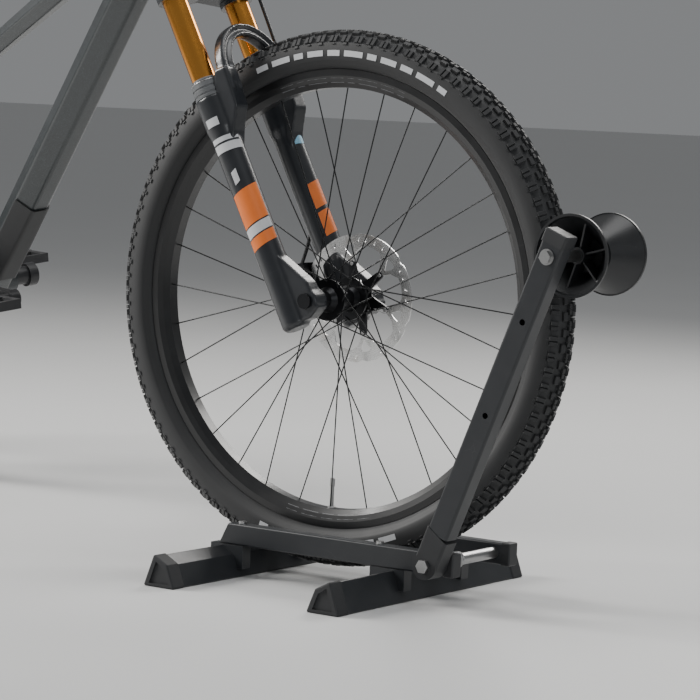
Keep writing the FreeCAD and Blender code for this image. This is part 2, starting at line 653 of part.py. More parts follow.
def stem():
    middle = (STEM_BOTTOM + STEM_TOP) / 2
    clamp = rod(on_steerer(STEM_BOTTOM), on_steerer(STEM_TOP), 20.0)
    bar = bar_centre()
    face = rod(bar + Vector(0, -26, 0), bar + Vector(0, 26, 0), 22.0)
    body = slab([on_steerer(middle - 16, 8, -19), on_steerer(middle - 12, STEM_REACH, -19),
                 on_steerer(middle + 18, STEM_REACH, -19), on_steerer(middle + 17, 8, -19)], Vector(0, 38, 0))
    cap = rod(on_steerer(STEM_TOP), on_steerer(STEM_TOP + 5), 17.5)
    whole = joined([clamp, face, body, cap])
    steerer = rod(on_steerer(STEM_BOTTOM - 5), on_steerer(STEM_TOP), STEERER_R)
    return whole.cut(steerer).cut(rod(bar + Vector(0, -40, 0), bar + Vector(0, 40, 0), BAR_R))


def bar_path():
    """Right half of the riser bar as points: centre, foot of the rise, top, tip."""
    centre = bar_centre()
    foot = centre + Vector(0, -42, 0)
    top = centre + Vector(-6, -110, BAR_RISE)
    tip = centre + Vector(-BAR_BACK, -BAR_HALF_SPAN, BAR_RISE + 14)
    return [centre, foot, top, tip]


def mirrored_y(point):
    return Vector(point.x, -point.y, point.z)


def handlebar():
    pieces = []
    for flip in (False, True):
        points = [mirrored_y(p) if flip else p for p in bar_path()]
        pieces.append(rod(points[0], points[1], BAR_R))
        rise = points[2] - points[1]
        pieces.append(Part.makeSphere(BAR_R, points[1]))
        pieces.append(Part.makeCone(BAR_R, GRIP_BAR_R, rise.Length, points[1], rise))
        pieces.append(Part.makeSphere(GRIP_BAR_R, points[2]))
        pieces.append(rod(points[2], points[3], GRIP_BAR_R))
    return joined(pieces)


def bar_station(distance, flip):
    """Point on the grip part of the bar, measured inboard from its tip."""
    points = [mirrored_y(p) if flip else p for p in bar_path()]
    inboard = (points[2] - points[3]).normalize()
    return points[3] + inboard * distance, inboard


def grips():
    parts = []
    for flip in (False, True):
        tip, inboard = bar_station(0, flip)
        body = sleeve(tip - inboard * 0.5, tip + inboard * GRIP_LENGTH, 15.8, GRIP_BAR_R)
        end = rod(tip - inboard * 5, tip - inboard * 0.5, 16.2)
        collar = sleeve(tip + inboard * (GRIP_LENGTH - 9), tip + inboard * GRIP_LENGTH, 17.2, GRIP_BAR_R)
        parts.append(joined([body, end, collar]))
    return parts


def lever_pivot(flip):
    """Brake lever pivot: inboard of the grip, ahead of and below the bar."""
    centre, _ = bar_station(GRIP_LENGTH + 24, flip)
    return centre + Vector(34, 0, -22)


def brake_bodies():
    bodies = []
    for flip in (False, True):
        outward = 1 if flip else -1
        centre, inboard = bar_station(GRIP_LENGTH + 18, flip)
        clamp = sleeve(centre - inboard * 7, centre + inboard * 7, 15.5, GRIP_BAR_R)
        pivot = lever_pivot(flip)
        start = centre + Vector(20, -outward * 34, -4)
        cylinder = rod(start, centre + Vector(26, outward * 10, -8), 8.6)
        neck = rod(centre + Vector(12, 0, -3), centre + Vector(24, 0, -7), 7.0)
        arm = Part.makeBox(16, 11, 6, pivot + Vector(-14, -5.5, 4.6))
        ear = Part.makeCylinder(7.0, 6.0, pivot + Vector(0, 0, 4.6))
        bodies.append(joined([clamp, neck, cylinder, arm, ear]).cut(
            rod(centre - inboard * 60, centre + inboard * 60, GRIP_BAR_R)))
    return bodies


def brake_blade(flip):
    """Two-finger blade that swings towards the grip."""
    outward = 1 if flip else -1
    pivot = lever_pivot(flip)
    outline = [(-6, -7), (7, -6), (12, 10), (20, 34), (17, 62),
               (21, 84), (15, 86), (9, 62), (11, 36), (2, 13)]
    points = [pivot + Vector(x, outward * y, -4.2) for x, y in outline]
    return slab(points, Vector(0, 0, 8.0))


def shifter_base():
    centre, inboard = bar_station(GRIP_LENGTH + 48, False)
    clamp = sleeve(centre - inboard * 6, centre + inboard * 6, 15.0, GRIP_BAR_R)
    pod = Part.makeBox(34, 26, 16, centre + Vector(-8, -4, -33))
    neck = Part.makeBox(12, 9, 12, centre + Vector(4, 1, -22))
    return joined([clamp, pod, neck]).cut(rod(centre - inboard * 20, centre + inboard * 20, GRIP_BAR_R))


def shifter_pivot():
    centre, _ = bar_station(GRIP_LENGTH + 48, False)
    return centre + Vector(6, 8, -34)


def shift_paddle():
    pivot = shifter_pivot()
    outline = [(-7, 7), (7, 7), (6, -8), (0, -30), (-8, -40), (-14, -36), (-9, -20)]
    blade = slab([pivot + Vector(x, y, -4.6) for x, y in outline], Vector(0, 0, 4.0))
    return joined([blade, rod(pivot + Vector(0, 0, -4.6), pivot + Vector(0, 0, -0.6), 8.5)])


# ---- frame -------------------------------------------------------------
def rounded_loop(points, radius):
    """Closed wire through planar points with each corner rounded."""
    count = len(points)
    starts = []
    ends = []
    mids = []
    for i in range(count):
        corner = points[i]
        back = (points[i - 1] - corner).normalize()
        on = (points[(i + 1) % count] - corner).normalize()
        half = back.getAngle(on) / 2
        trim = radius / math.tan(half)
        starts.append(corner + back * trim)
        ends.append(corner + on * trim)
        bisector = (back + on).normalize()
        mids.append(corner + bisector * (radius / math.sin(half) - radius))
    edges = []
    for i in range(count):
        edges.append(Part.Arc(starts[i], mids[i], ends[i]).toShape())
        edges.append(Part.LineSegment(ends[i], starts[(i + 1) % count]).toShape())
    return Part.Wire(edges)


def section(centre, direction, half_height, half_width, shrink=0.0):
    """Six-sided tube section with a ridge along each side."""
    run = Vector(direction).normalize()
    side = ALONG_Y
    up = run.cross(side).normalize()
    if up.z < 0:
        up = up * -1
    height = half_height - shrink
    width = half_width - shrink
    flat = width * 0.45
    corners = [(flat, height), (width, 0.0), (flat, -height),
               (-flat, -height), (-width, 0.0), (-flat, height)]
    return rounded_loop([centre + side * y + up * h for y, h in corners], min(height, width) * 0.25)


def faceted_tube(stations, wall):
    """Hollow tube lofted through (centre, direction, half height, half width)."""
    outer = Part.makeLoft([section(*s) for s in stations], True, True)
    inner = Part.makeLoft([section(*s, shrink=wall) for s in stations], True, True)
    return outer.cut(inner)


def head_tube():
    body = rod(on_steerer(HEAD_BOTTOM), on_steerer(HEAD_TOP), 27.0)
    rings = [rod(on_steerer(HEAD_BOTTOM - 12), on_steerer(HEAD_BOTTOM + 8), 29.0),
             rod(on_steerer(HEAD_TOP - 6), on_steerer(HEAD_TOP), 28.0)]
    bore = rod(on_steerer(HEAD_BOTTOM - 13), on_steerer(HEAD_TOP + 1), 20.5)
    return joined([body] + rings).cut(bore)


def down_tube_points():
    start = on_steerer(DOWN_TUBE_S)
    run = Vector(-math.cos(DOWN_TUBE_ANGLE), 0, -math.sin(DOWN_TUBE_ANGLE))
    bend = start + run * DOWN_TUBE_STRAIGHT
    return start, run, bend


def down_tube():
    start, run, bend = down_tube_points()
    last = (BOTTOM_BRACKET - bend).normalize()
    turn = (run + last).normalize()
    stations = [(start, run, 31.0, 27.0), (start + run * 90, run, 30.5, 29.0), (bend, turn, 30.0, 31.0),
                (BOTTOM_BRACKET, last, 26.0, 33.0)]
    return faceted_tube(stations, 2.0)


def top_tube_points():
    start = on_steerer(TOP_TUBE_S)
    run = Vector(-math.cos(TOP_TUBE_ANGLE), 0, -math.sin(TOP_TUBE_ANGLE))
    seat_run = Vector(-math.cos(SEAT_ANGLE), 0, math.sin(SEAT_ANGLE))
    gap = start - BOTTOM_BRACKET
    cross = seat_run.x * run.z - seat_run.z * run.x
    along_seat = (gap.x * run.z - gap.z * run.x) / cross
    return start, run, BOTTOM_BRACKET + seat_run * along_seat, seat_run


def top_tube():
    start, run, end, _ = top_tube_points()
    stations = [(start, run, 20.5, 22.0), (start + run * 120, run, 19.5, 20.0), (end, run, 15.0, 16.0)]
    return faceted_tube(stations, 1.8)


def seat_tube():
    seat_run = top_tube_points()[3]
    top = BOTTOM_BRACKET + seat_run * SEAT_TUBE_LENGTH
    return sleeve(BOTTOM_BRACKET, top, 17.5, 15.4)


def stays(path, radius):
    """A pair of bent round stays through (x, y, z) points, mirrored in Y."""
    return [bent_rod([Vector(p.x, side * p.y, p.z) for p in path], radius)[0] for side in (-1, 1)]


def chain_stays():
    start = BOTTOM_BRACKET
    path = [start + Vector(-20, 31, 0), start + Vector(-70, 36, 1),
            Vector(REAR_HUB.x + 128, 70.5, REAR_HUB.z - 4), Vector(REAR_HUB.x + 20, 78.2, REAR_HUB.z - 2)]
    yoke = rod(start + Vector(-31, -31, 0), start + Vector(-31, 31, 0), 9.5)
    pair = stays(path, 8.0)
    dropouts = []
    for side in (-1, 1):
        outline = [(-16, -16), (16, -16), (26, 0), (10, 34), (-6, 34), (-16, 10)]
        points = [(REAR_HUB.x + x, REAR_HUB.z + z) for x, z in outline]
        edges = sorted((side * 74.2, side * 81.5))
        dropouts.append(y_slab(points, edges[0], edges[1]))
    whole = joined([yoke] + pair + dropouts)
    return whole.cut(rod(REAR_HUB + Vector(0, -90, 0), REAR_HUB + Vector(0, 90, 0), REAR_AXLE_R))


def seat_stays():
    seat_run = top_tube_points()[3]
    start = BOTTOM_BRACKET + seat_run * 290
    path = [start + Vector(0, 33, 0), Vector(REAR_HUB.x + 105, 68, REAR_HUB.z + 84),
            Vector(REAR_HUB.x + 2, 77.7, REAR_HUB.z + 24)]
    bridge = rod(start + Vector(-2, -31, 1), start + Vector(-2, 31, 1), 8.6)
    return joined([bridge] + stays(path, 7.0))


def bottom_bracket():
    shell = sleeve(BOTTOM_BRACKET + Vector(0, -36.5, 0), BOTTOM_BRACKET + Vector(0, 36.5, 0), 24.0, 15.6)
    return shell


def down_tube_guard(tube):
    """Thin moulded shield under the down tube, following its section."""
    start, run, bend = down_tube_points()
    last = (BOTTOM_BRACKET - bend).normalize()
    turn = (run + last).normalize()
    end = bend + last * 75
    stations = [(start + run * GUARD_START, run, 33.0, 33.5), (bend, turn, 33.0, 34.5),
                (end, last, 31.0, 35.5)]
    shell = Part.makeLoft([section(*s) for s in stations], True, True)
    core = Part.makeLoft([section(c, d, h - 2.6, w - 2.6) for c, d, h, w in stations], True, True)
    across = Vector(0, 90, 0)
    up = Vector(-run.z, 0, run.x)
    if up.z < 0:
        up = up * -1
    low = start + run * (GUARD_START - 35) - Vector(0, 45, 0) - up * 2
    high = end + last * 60 - Vector(0, 45, 0) - up * 2
    above = slab([low, high, high + up * 90, low + up * 90], across)
    return shell.cut(core).cut(above).cut(tube)


def seat_clamp():
    seat_run = top_tube_points()[3]
    top = BOTTOM_BRACKET + seat_run * SEAT_TUBE_LENGTH
    collar = sleeve(top - seat_run * 12, top + seat_run * 3, 20.5, 17.5)
    lip = sleeve(top, top + seat_run * 3, 17.6, 15.45)
    return collar.cut(rod(top, top + seat_run * 3, 15.0)).fuse(lip).removeSplitter()


def seatpost():
    seat_run = top_tube_points()[3]
    low = BOTTOM_BRACKET + seat_run * (SEAT_TUBE_LENGTH - 120)
    high = BOTTOM_BRACKET + seat_run * (SADDLE_HEIGHT - 52)
    post = rod(low, high, 15.4)
    head = Part.makeBox(44, 34, 16, high + Vector(-24, -17, -6))
    rails = []
    for side in (-1, 1):
        y = side * 22
        points = [high + Vector(-84, y, 12), high + Vector(52, y, 12), high + Vector(96, y * 0.6, 26)]
        rails.append(rod(points[0], points[1], 3.6))
        rails.append(rod(points[1], points[2], 3.6))
        rails.append(Part.makeSphere(3.6, points[1]))
        rails.append(Part.makeBox(34, 9, 13, high + Vector(-19, y - 4.5, 5)))
    yoke = Part.makeBox(40, 52, 6, high + Vector(-22, -26, 0))
    return joined([post, head, yoke] + rails)


def saddle():
    """Plain saddle body: broad tail, waist and narrow nose."""
    seat_run = top_tube_points()[3]
    base = BOTTOM_BRACKET + seat_run * (SADDLE_HEIGHT - 52) + Vector(-10, 0, 30)
    plan = [(-128, 38), (-104, 66), (-70, 70), (-20, 42), (40, 24), (120, 19), (142, 8)]
    outline = plan + [(x, -y) for x, y in reversed(plan)]
    body = slab([base + Vector(x, y, 0) for x, y in outline], Vector(0, 0, 40))
    wedge = slab([base + Vector(-140, -80, 18), base + Vector(-80, -80, 0), base + Vector(-140, -80, 0)],
                 Vector(0, 160, 0))
    dip = slab([base + Vector(-90, -80, 41), base + Vector(0, -80, 33), base + Vector(150, -80, 36),
                base + Vector(150, -80, 41)], Vector(0, 160, 0))
    return body.cut(wedge).cut(dip)


def rear_caliper(stay_group):
    outline = [(58, 20), (92, 14), (98, 34), (70, 48), (52, 40)]
    points = [(REAR_HUB.x + x, REAR_HUB.z + z) for x, z in outline]
    body = y_slab(points, 46, 70)
    foot = y_slab([(REAR_HUB.x + 60, REAR_HUB.z + 4), (REAR_HUB.x + 92, REAR_HUB.z + 4),
                   (REAR_HUB.x + 92, REAR_HUB.z + 24), (REAR_HUB.x + 60, REAR_HUB.z + 24)], 63, 70)
    room = Part.makeCylinder(REAR_ROTOR_R + 1.5, 5.0, REAR_HUB + Vector(0, REAR_ROTOR_Y - 2.5, 0), ALONG_Y)
    body = joined([body, foot]).cut(room).cut(stay_group)
    return max(body.Solids, key=lambda solid: solid.Volume)


# ---- drivetrain --------------------------------------------------------
def pitch_radius(teeth):
    return teeth * CHAIN_PITCH / (2 * math.pi)


CHAIN_COG = COG_TEETH.index(16)
GUIDE_PULLEY = REAR_HUB + Vector(8, 0, -80)
TENSION_PULLEY = REAR_HUB + Vector(34, 0, -166)
PULLEY_R = 21.0


def toothed_disc(centre, teeth, thickness, hole):
    """Flat sprocket with pointed teeth."""
    root = pitch_radius(teeth) - 3.8
    tip = pitch_radius(teeth) + 2.6
    points = []
    for i in range(teeth):
        for part, radius in ((0.0, root), (0.28, root), (0.42, tip), (0.58, tip), (0.72, root)):
            angle = 2 * math.pi * (i + part) / teeth
            points.append(centre + Vector(radius * math.cos(angle), 0, radius * math.sin(angle)))
    disc = slab(points, Vector(0, thickness, 0))
    return disc.cut(Part.makeCylinder(hole, thickness, centre, ALONG_Y))


def cassette():
    cogs = []
    for i, teeth in enumerate(COG_TEETH):
        y = FIRST_COG_Y - i * COG_STEP
        hole = max(17.3, pitch_radius(teeth) - 15) if teeth > 24 else 17.3
        ring = toothed_disc(REAR_HUB + Vector(0, y - 0.9, 0), teeth, 1.8, hole)
        cogs.append(ring)
        if teeth > 24:
            for k in range(5):
                spider = Part.makeBox(hole - 14, 1.8, 9, REAR_HUB + Vector(16.0, y - 0.9, -4.5))
                spider.rotate(REAR_HUB, ALONG_Y, 72 * k + 7 * i)
                cogs.append(spider)
    last_y = FIRST_COG_Y - (len(COG_TEETH) - 1) * COG_STEP
    barrel = sleeve(REAR_HUB + Vector(0, last_y - 1, 0), REAR_HUB + Vector(0, FIRST_COG_Y + 1, 0), 18.6, 14.0)
    body = joined([barrel] + cogs)
    bore = rod(REAR_HUB + Vector(0, last_y - 2, 0), REAR_HUB + Vector(0, FIRST_COG_Y + 2, 0), 14.0)
    return max(body.cut(bore).Solids, key=lambda solid: solid.Volume)


def rear_hub_shell():
    right_y = -19.0
    left_y = 34.0
    bore = REAR_AXLE_R + RUNNING_GAP
    near = right_y - FLANGE_HALF
    far = left_y + FLANGE_HALF
    end = 73.8
    seat = REAR_ROTOR_Y - ROTOR_THICKNESS / 2
    profile = [(-end, bore), (-end, 11.0), (-64.5, 13.4), (-24.5, 13.4), (-24.5, 18.0), (near, 18.0),
               (near, 29.0), (near + 2 * FLANGE_HALF, 29.0), (near + 2 * FLANGE_HALF, 19.0),
               (right_y + 9, 16.0), (left_y - 9, 16.0), (far - 2 * FLANGE_HALF, 19.0),
               (far - 2 * FLANGE_HALF, 29.0), (far, 29.0), (far, 21.0), (seat, 21.0), (seat, 16.9),
               (seat + 2.4, 16.9), (seat + 2.4, 13.0), (end, 11.0), (end, bore)]
    return spun(profile, REAR_HUB)


def crank_direction(side):
    angle = math.radians(0 if side < 0 else 180)
    return Vector(math.cos(angle), 0, math.sin(angle))


def crank_arms():
    pieces = [rod(BOTTOM_BRACKET + Vector(0, -76, 0), BOTTOM_BRACKET + Vector(0, 78, 0), 15.0)]
    for side in (-1, 1):
        run = crank_direction(side)
        up = Vector(-run.z, 0, run.x)
        edges = sorted((side * 64.0, side * 80.0))
        lift = Vector(0, edges[0], 0)
        root = BOTTOM_BRACKET + lift
        tip = root + run * CRANK_LENGTH
        corners = [root + up * 15, tip + up * 11, tip - up * 11, root - up * 15]
        pieces.append(slab(corners, Vector(0, 16, 0)))
        pieces.append(Part.makeCylinder(19, 16, root, ALONG_Y))
        pieces.append(Part.makeCylinder(13.5, 16, tip, ALONG_Y))
    holes = []
    for side in (-1, 1):
        eye = BOTTOM_BRACKET + crank_direction(side) * CRANK_LENGTH
        holes.append(rod(eye + Vector(0, side * 60, 0), eye + Vector(0, side * 90, 0), PEDAL_HOLE_R))
    return joined(pieces).cut(Part.makeCompound(holes))


def chainring():
    centre = BOTTOM_BRACKET + Vector(0, CHAIN_Y - 1.0, 0)
    ring = toothed_disc(centre, CHAINRING_TEETH, 2.0, 48.0)
    arms = []
    for k in range(4):
        arm = Part.makeBox(38, 2.0, 15, centre + Vector(14.5, 0, -7.5))
        arm.rotate(centre, ALONG_Y, 90 * k + 45)
        arms.append(arm)
    boss = Part.makeCylinder(21, 12, centre + Vector(0, -9.6, 0), ALONG_Y)
    body = joined([ring, boss] + arms)
    return body.cut(rod(BOTTOM_BRACKET + Vector(0, -80, 0), BOTTOM_BRACKET + Vector(0, 80, 0), 15.0))


def pedal(side):
    """Flat platform pedal around its own spindle, level with the floor."""
    centre = BOTTOM_BRACKET + crank_direction(side) * CRANK_LENGTH
    spindle = sorted((side * 80.3, side * 190.0))
    axle = rod(centre + Vector(0, spindle[0], 0), centre + Vector(0, spindle[1], 0), 8.5)
    outer = Part.makeBox(104, 100, 15, centre + Vector(-52, -50, -7.5))
    stub = sorted((side * 66.0, side * 80.3))
    thread = rod(centre + Vector(0, stub[0], 0), centre + Vector(0, stub[1], 0), PEDAL_HOLE_R - RUNNING_GAP)
    holes = [Part.makeBox(34, 34, 20, centre + Vector(x, y, -10)) for x in (-46, 12) for y in (-41, 7)]
    frame = outer.cut(Part.makeCompound(holes))
    frame.translate(Vector(0, side * 140, 0))
    return joined([frame, axle, thread])


def chain_wheels():
    """Wheels in the chain's order: centre, radius, +1 when it wraps anticlockwise."""
    lift = Vector(0, CHAIN_Y, 0)
    return [(BOTTOM_BRACKET + lift, pitch_radius(CHAINRING_TEETH), 1),
            (REAR_HUB + lift, pitch_radius(COG_TEETH[CHAIN_COG]), 1),
            (GUIDE_PULLEY + lift, PULLEY_R, -1),
            (TENSION_PULLEY + lift, PULLEY_R, 1)]


def belt_wire(wheels, offset):
    """Closed loop round the wheels, moved sideways by offset."""
    count = len(wheels)
    headings = []
    for i in range(count):
        centre, radius, sense = wheels[i]
        next_centre, next_radius, next_sense = wheels[(i + 1) % count]
        run = next_centre - centre
        reach = (sense * radius - next_sense * next_radius) / run.Length
        headings.append(math.atan2(run.z, run.x) + math.asin(reach))
    edges = []
    leaving = []
    entering = []
    for i in range(count):
        centre, radius, sense = wheels[i]
        signed = sense * radius + offset
        for heading, store in ((headings[i - 1], entering), (headings[i], leaving)):
            store.append(centre + Vector(math.sin(heading), 0, -math.cos(heading)) * signed)
        turn = (headings[i] - headings[i - 1]) % (2 * math.pi)
        if sense < 0:
            turn -= 2 * math.pi
        middle = headings[i - 1] + turn / 2
        crown = centre + Vector(math.sin(middle), 0, -math.cos(middle)) * signed
        edges.append(Part.Arc(entering[i], crown, leaving[i]).toShape())
    for i in range(count):
        edges.append(Part.LineSegment(leaving[i], entering[(i + 1) % count]).toShape())
    return Part.Wire(Part.__sortEdges__(edges))


def chain():
    """The chain's two rows of side plates as closed bands round its four wheels."""
    half_height = 4.2
    plate = 0.5
    offset = 1.35
    band = Part.Face(belt_wire(chain_wheels(), half_height)).cut(
        Part.Face(belt_wire(chain_wheels(), -half_height)))
    rows = []
    for low in (-offset - plate, offset):
        row = band.copy()
        row.translate(Vector(0, low, 0))
        rows += row.extrude(Vector(0, plate, 0)).Solids
    return rows


def rear_derailleur():
    """Hanger link, body, cage plates and two jockey wheels."""
    hanger = [(REAR_HUB.x - 12, REAR_HUB.z + 6), (REAR_HUB.x + 8, REAR_HUB.z - 12),
              (REAR_HUB.x - 6, REAR_HUB.z - 38), (REAR_HUB.x - 22, REAR_HUB.z - 30)]
    knuckle = REAR_HUB + Vector(-14, 0, -32)
    pieces = [y_slab(hanger, -86.5, -81.8)]
    pieces.append(rod(knuckle + Vector(0, -92, 0), knuckle + Vector(0, -72, 0), 13.0))
    pieces.append(rod(knuckle + Vector(2, -80, -4), GUIDE_PULLEY + Vector(-10, -66, 0), 9.5))
    pieces.append(rod(GUIDE_PULLEY + Vector(-8, -72, 0), GUIDE_PULLEY + Vector(-8, -58.5, 0), 13.0))
    side = (TENSION_PULLEY - GUIDE_PULLEY).cross(ALONG_Y).normalize()
    for y in (-59.5, -47.5):
        corners = [GUIDE_PULLEY + side * 13, TENSION_PULLEY + side * 11, TENSION_PULLEY - side * 11,
                   GUIDE_PULLEY - side * 13]
        lifted = [c + Vector(0, y, 0) for c in corners]
        pieces.append(slab(lifted, Vector(0, 2.0, 0)))
        for pulley, radius in ((GUIDE_PULLEY, 13.0), (TENSION_PULLEY, 11.0)):
            pieces.append(Part.makeCylinder(radius, 2.0, pulley + Vector(0, y, 0), ALONG_Y))
    for pulley in (GUIDE_PULLEY, TENSION_PULLEY):
        pieces.append(Part.makeCylinder(4.0, 14.0, pulley + Vector(0, -59.5, 0), ALONG_Y))
    return joined(pieces)


def jockey_wheels():
    return [toothed_disc(pulley + Vector(0, CHAIN_Y - 1.1, 0), 10, 2.2, 4.0)
            for pulley in (GUIDE_PULLEY, TENSION_PULLEY)]


# ---- hoses -------------------------------------------------------------
def hose(points, radius, name):
    """A hose through its points; prints its bend radii."""
    tube, radii, length = bent_rod(points, radius)
    expected = length * math.pi * radius ** 2
    print(name, "length", round(length), "radii", radii, "volume ratio", round(tube.Volume / expected, 3))
    return tube


def front_hose_upper():
    """From the left lever round in front of the head tube to the fork arch."""
    centre = bar_station(GRIP_LENGTH + 18, True)[0]
    start = centre + Vector(20, -34, -4)
    points = [start, start + Vector(7, -44, -3), start + Vector(8, -86, -20), start + Vector(0, -112, -66),
              on_fork(598, 34, 96), on_fork(546, 26, 104), on_fork(492, 20, 106), on_fork(440, 20, 104),
              on_fork(392, 20, 101), on_fork(351, 17, 100)]
    return hose(points, 2.6, "front_hose_upper")


def front_hose_lower():
    """Down the inside of the left leg to the brake body."""
    points = [on_fork(350, 17, 100), on_fork(302, 12, 99.5), on_fork(252, 4, 99), on_fork(200, -4, 98.5),
              on_fork(152, -17, 92.5), on_fork(112, -31, 76), on_fork(84, -40, 52)]
    return hose(points, 2.6, "front_hose_lower")


def rear_control_hoses():
    """Rear brake hose and shift cable from the right controls into the headset cover."""
    brake = bar_station(GRIP_LENGTH + 18, False)[0]
    shift = bar_station(GRIP_LENGTH + 48, False)[0]
    cover = HEAD_TOP + 7
    brake_start = brake + Vector(20, 34, -4)
    brake_points = [brake_start, brake_start + Vector(6, 46, -3), brake_start + Vector(8, 92, -20),
                    brake_start + Vector(10, 127, -46), on_steerer(cover + 14, 43.5, -34),
                    on_steerer(cover, 21, -12)]
    shift_start = shift + Vector(9, 22, -25)
    shift_points = [shift_start, shift_start + Vector(3, 36, -6), shift_start + Vector(5, 72, -20),
                    shift_start + Vector(12, 112, -39), on_steerer(cover + 4, 37, -30),
                    on_steerer(cover, 22, -2)]
    return [hose(brake_points, 2.6, "rear_brake_hose"), hose(shift_points, 2.3, "shift_cable")]


# ---- all nodes ---------------------------------------------------------
def main():
    os.makedirs("parts", exist_ok=True)
    bars = foot_bars()
    beams = side_beams()
    save("foot_bars", group(bars))
    save("foot_caps", group(foot_caps(bars)))
    save("side_beams", group(beams))
    save("beam_end_caps", group(beam_end_caps(beams)))
    save("beam_saddles", group(beam_saddles(bars)))
    save("base_bolts", group(base_bolts()))
    save("pivot_shaft", pivot_shaft())
    save("torsion_spring", group([spring_sleeve(), torsion_spring()]))

    tube = arm_tube()
    save("arm_tube", tube)
    save("arm_sleeve", arm_sleeve(tube))
    save("arm_top_cap", arm_top_cap())
    save("roller_axle", roller_axle())
    save("roller_cone_right", roller_cone(-1))
    save("roller_cone_left", roller_cone(1))

    save("front_tyre", tyre(HUB))
    save("front_rim", rim(HUB))
    save("front_spokes", group(spokes(HUB, -31.0, 22.0, 26.0)))
    save("front_hub", hub_shell(HUB, 54.8, -31.0, 22.0, FRONT_AXLE_R, FRONT_ROTOR_Y - 0.9))
    save("front_rotor", rotor(HUB, FRONT_ROTOR_Y, FRONT_ROTOR_R))

    lowers = fork_lowers()
    save("fork_lowers", lowers)
    save("fork_seals", group(fork_seals()))
    save("front_axle", front_axle())
    save("front_caliper", front_caliper(lowers))
    save("front_hose_lower", front_hose_lower())

    legs = stanchions()
    save("stanchions", group(legs))
    save("fork_crown", fork_crown(legs))
    save("headset", group(headset()))
    save("stem", stem())
    save("handlebar", handlebar())
    save("grips", group(grips()))
    save("control_clamps", group(brake_bodies() + [shifter_base()]))
    save("front_hose_upper", front_hose_upper())
    save("rear_control_hoses", group(rear_control_hoses()))
    save("brake_blade_right", brake_blade(False))
    save("brake_blade_left", brake_blade(True))
    save("shift_paddle", shift_paddle())

    head = head_tube()
    head_solid = rod(on_steerer(HEAD_BOTTOM - 12), on_steerer(HEAD_TOP), 27.0)
    shell = bottom_bracket()
    shell_solid = rod(BOTTOM_BRACKET + Vector(0, -37, 0), BOTTOM_BRACKET + Vector(0, 37, 0), 24.0)
    down = down_tube().cut(head_solid).cut(head).cut(shell_solid)
    seat_run = top_tube_points()[3]
    seat_core = rod(BOTTOM_BRACKET, BOTTOM_BRACKET + seat_run * 460, 17.5)
    seat = seat_tube().cut(shell_solid).cut(down)
    top = top_tube().cut(head_solid).cut(head).cut(down).cut(seat_core)
    top = max(top.Solids, key=lambda solid: solid.Volume)
    down = max(down.Solids, key=lambda solid: solid.Volume)
    seat = max(seat.Solids, key=lambda solid: solid.Volume)
    lower_stays = chain_stays().cut(shell_solid).cut(seat_core).cut(down)
    lower_stays = max(lower_stays.Solids, key=lambda solid: solid.Volume)
    upper_stays = seat_stays().cut(seat_core).cut(lower_stays)
    guard = down_tube_guard(down).cut(shell_solid)
    save("head_tube", turned(head))
    save("down_tube", turned(down))
    save("top_tube", turned(top))
    save("seat_tube", turned(seat))
    save("chain_stays", turned(lower_stays))
    save("seat_stays", turned(upper_stays))
    save("bottom_bracket_shell", turned(shell))
    save("down_tube_guard", turned(max(guard.Solids, key=lambda solid: solid.Volume)))
    save("seat_clamp", turned(seat_clamp()))
    save("seatpost", turned(seatpost()))
    save("saddle", turned(saddle()))
    save("rear_caliper", turned(rear_caliper(lower_stays.fuse(upper_stays))))
    save("rear_derailleur", turned(group([rear_derailleur()] + jockey_wheels())))
    save("chain", turned(group(chain())))

    save("rear_tyre", turned(tyre(REAR_HUB)))
    save("rear_rim", turned(rim(REAR_HUB)))
    save("rear_spokes", turned(group(spokes(REAR_HUB, -19.0, 34.0, 25.0))))
    save("rear_hub", turned(rear_hub_shell()))
    save("rear_rotor", turned(rotor(REAR_HUB, REAR_ROTOR_Y, REAR_ROTOR_R)))
    save("cassette", turned(cassette()))
    save("crank_arms", turned(crank_arms()))
    save("chainring", turned(chainring()))
    save("pedal_right", turned(pedal(-1)))
    save("pedal_left", turned(pedal(1)))


main()
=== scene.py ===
import math
import random

import bmesh
import bpy
from mathutils import Matrix, Vector


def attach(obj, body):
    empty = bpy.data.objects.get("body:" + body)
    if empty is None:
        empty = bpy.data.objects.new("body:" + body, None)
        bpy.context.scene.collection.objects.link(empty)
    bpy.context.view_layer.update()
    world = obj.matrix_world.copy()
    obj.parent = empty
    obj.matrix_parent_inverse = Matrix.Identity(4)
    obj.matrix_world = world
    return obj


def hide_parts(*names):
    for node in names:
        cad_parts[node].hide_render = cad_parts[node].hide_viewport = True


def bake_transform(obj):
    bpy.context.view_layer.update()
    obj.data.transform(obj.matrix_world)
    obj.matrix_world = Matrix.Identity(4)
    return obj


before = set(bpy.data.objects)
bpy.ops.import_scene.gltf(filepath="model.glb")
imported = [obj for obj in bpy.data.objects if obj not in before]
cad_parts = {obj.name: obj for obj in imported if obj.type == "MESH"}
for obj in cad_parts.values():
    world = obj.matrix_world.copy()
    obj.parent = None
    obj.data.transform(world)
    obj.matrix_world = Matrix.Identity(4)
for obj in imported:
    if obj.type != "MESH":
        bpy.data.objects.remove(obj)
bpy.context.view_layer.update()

# ---------------------------------------------------------------- driving sizes, in metres

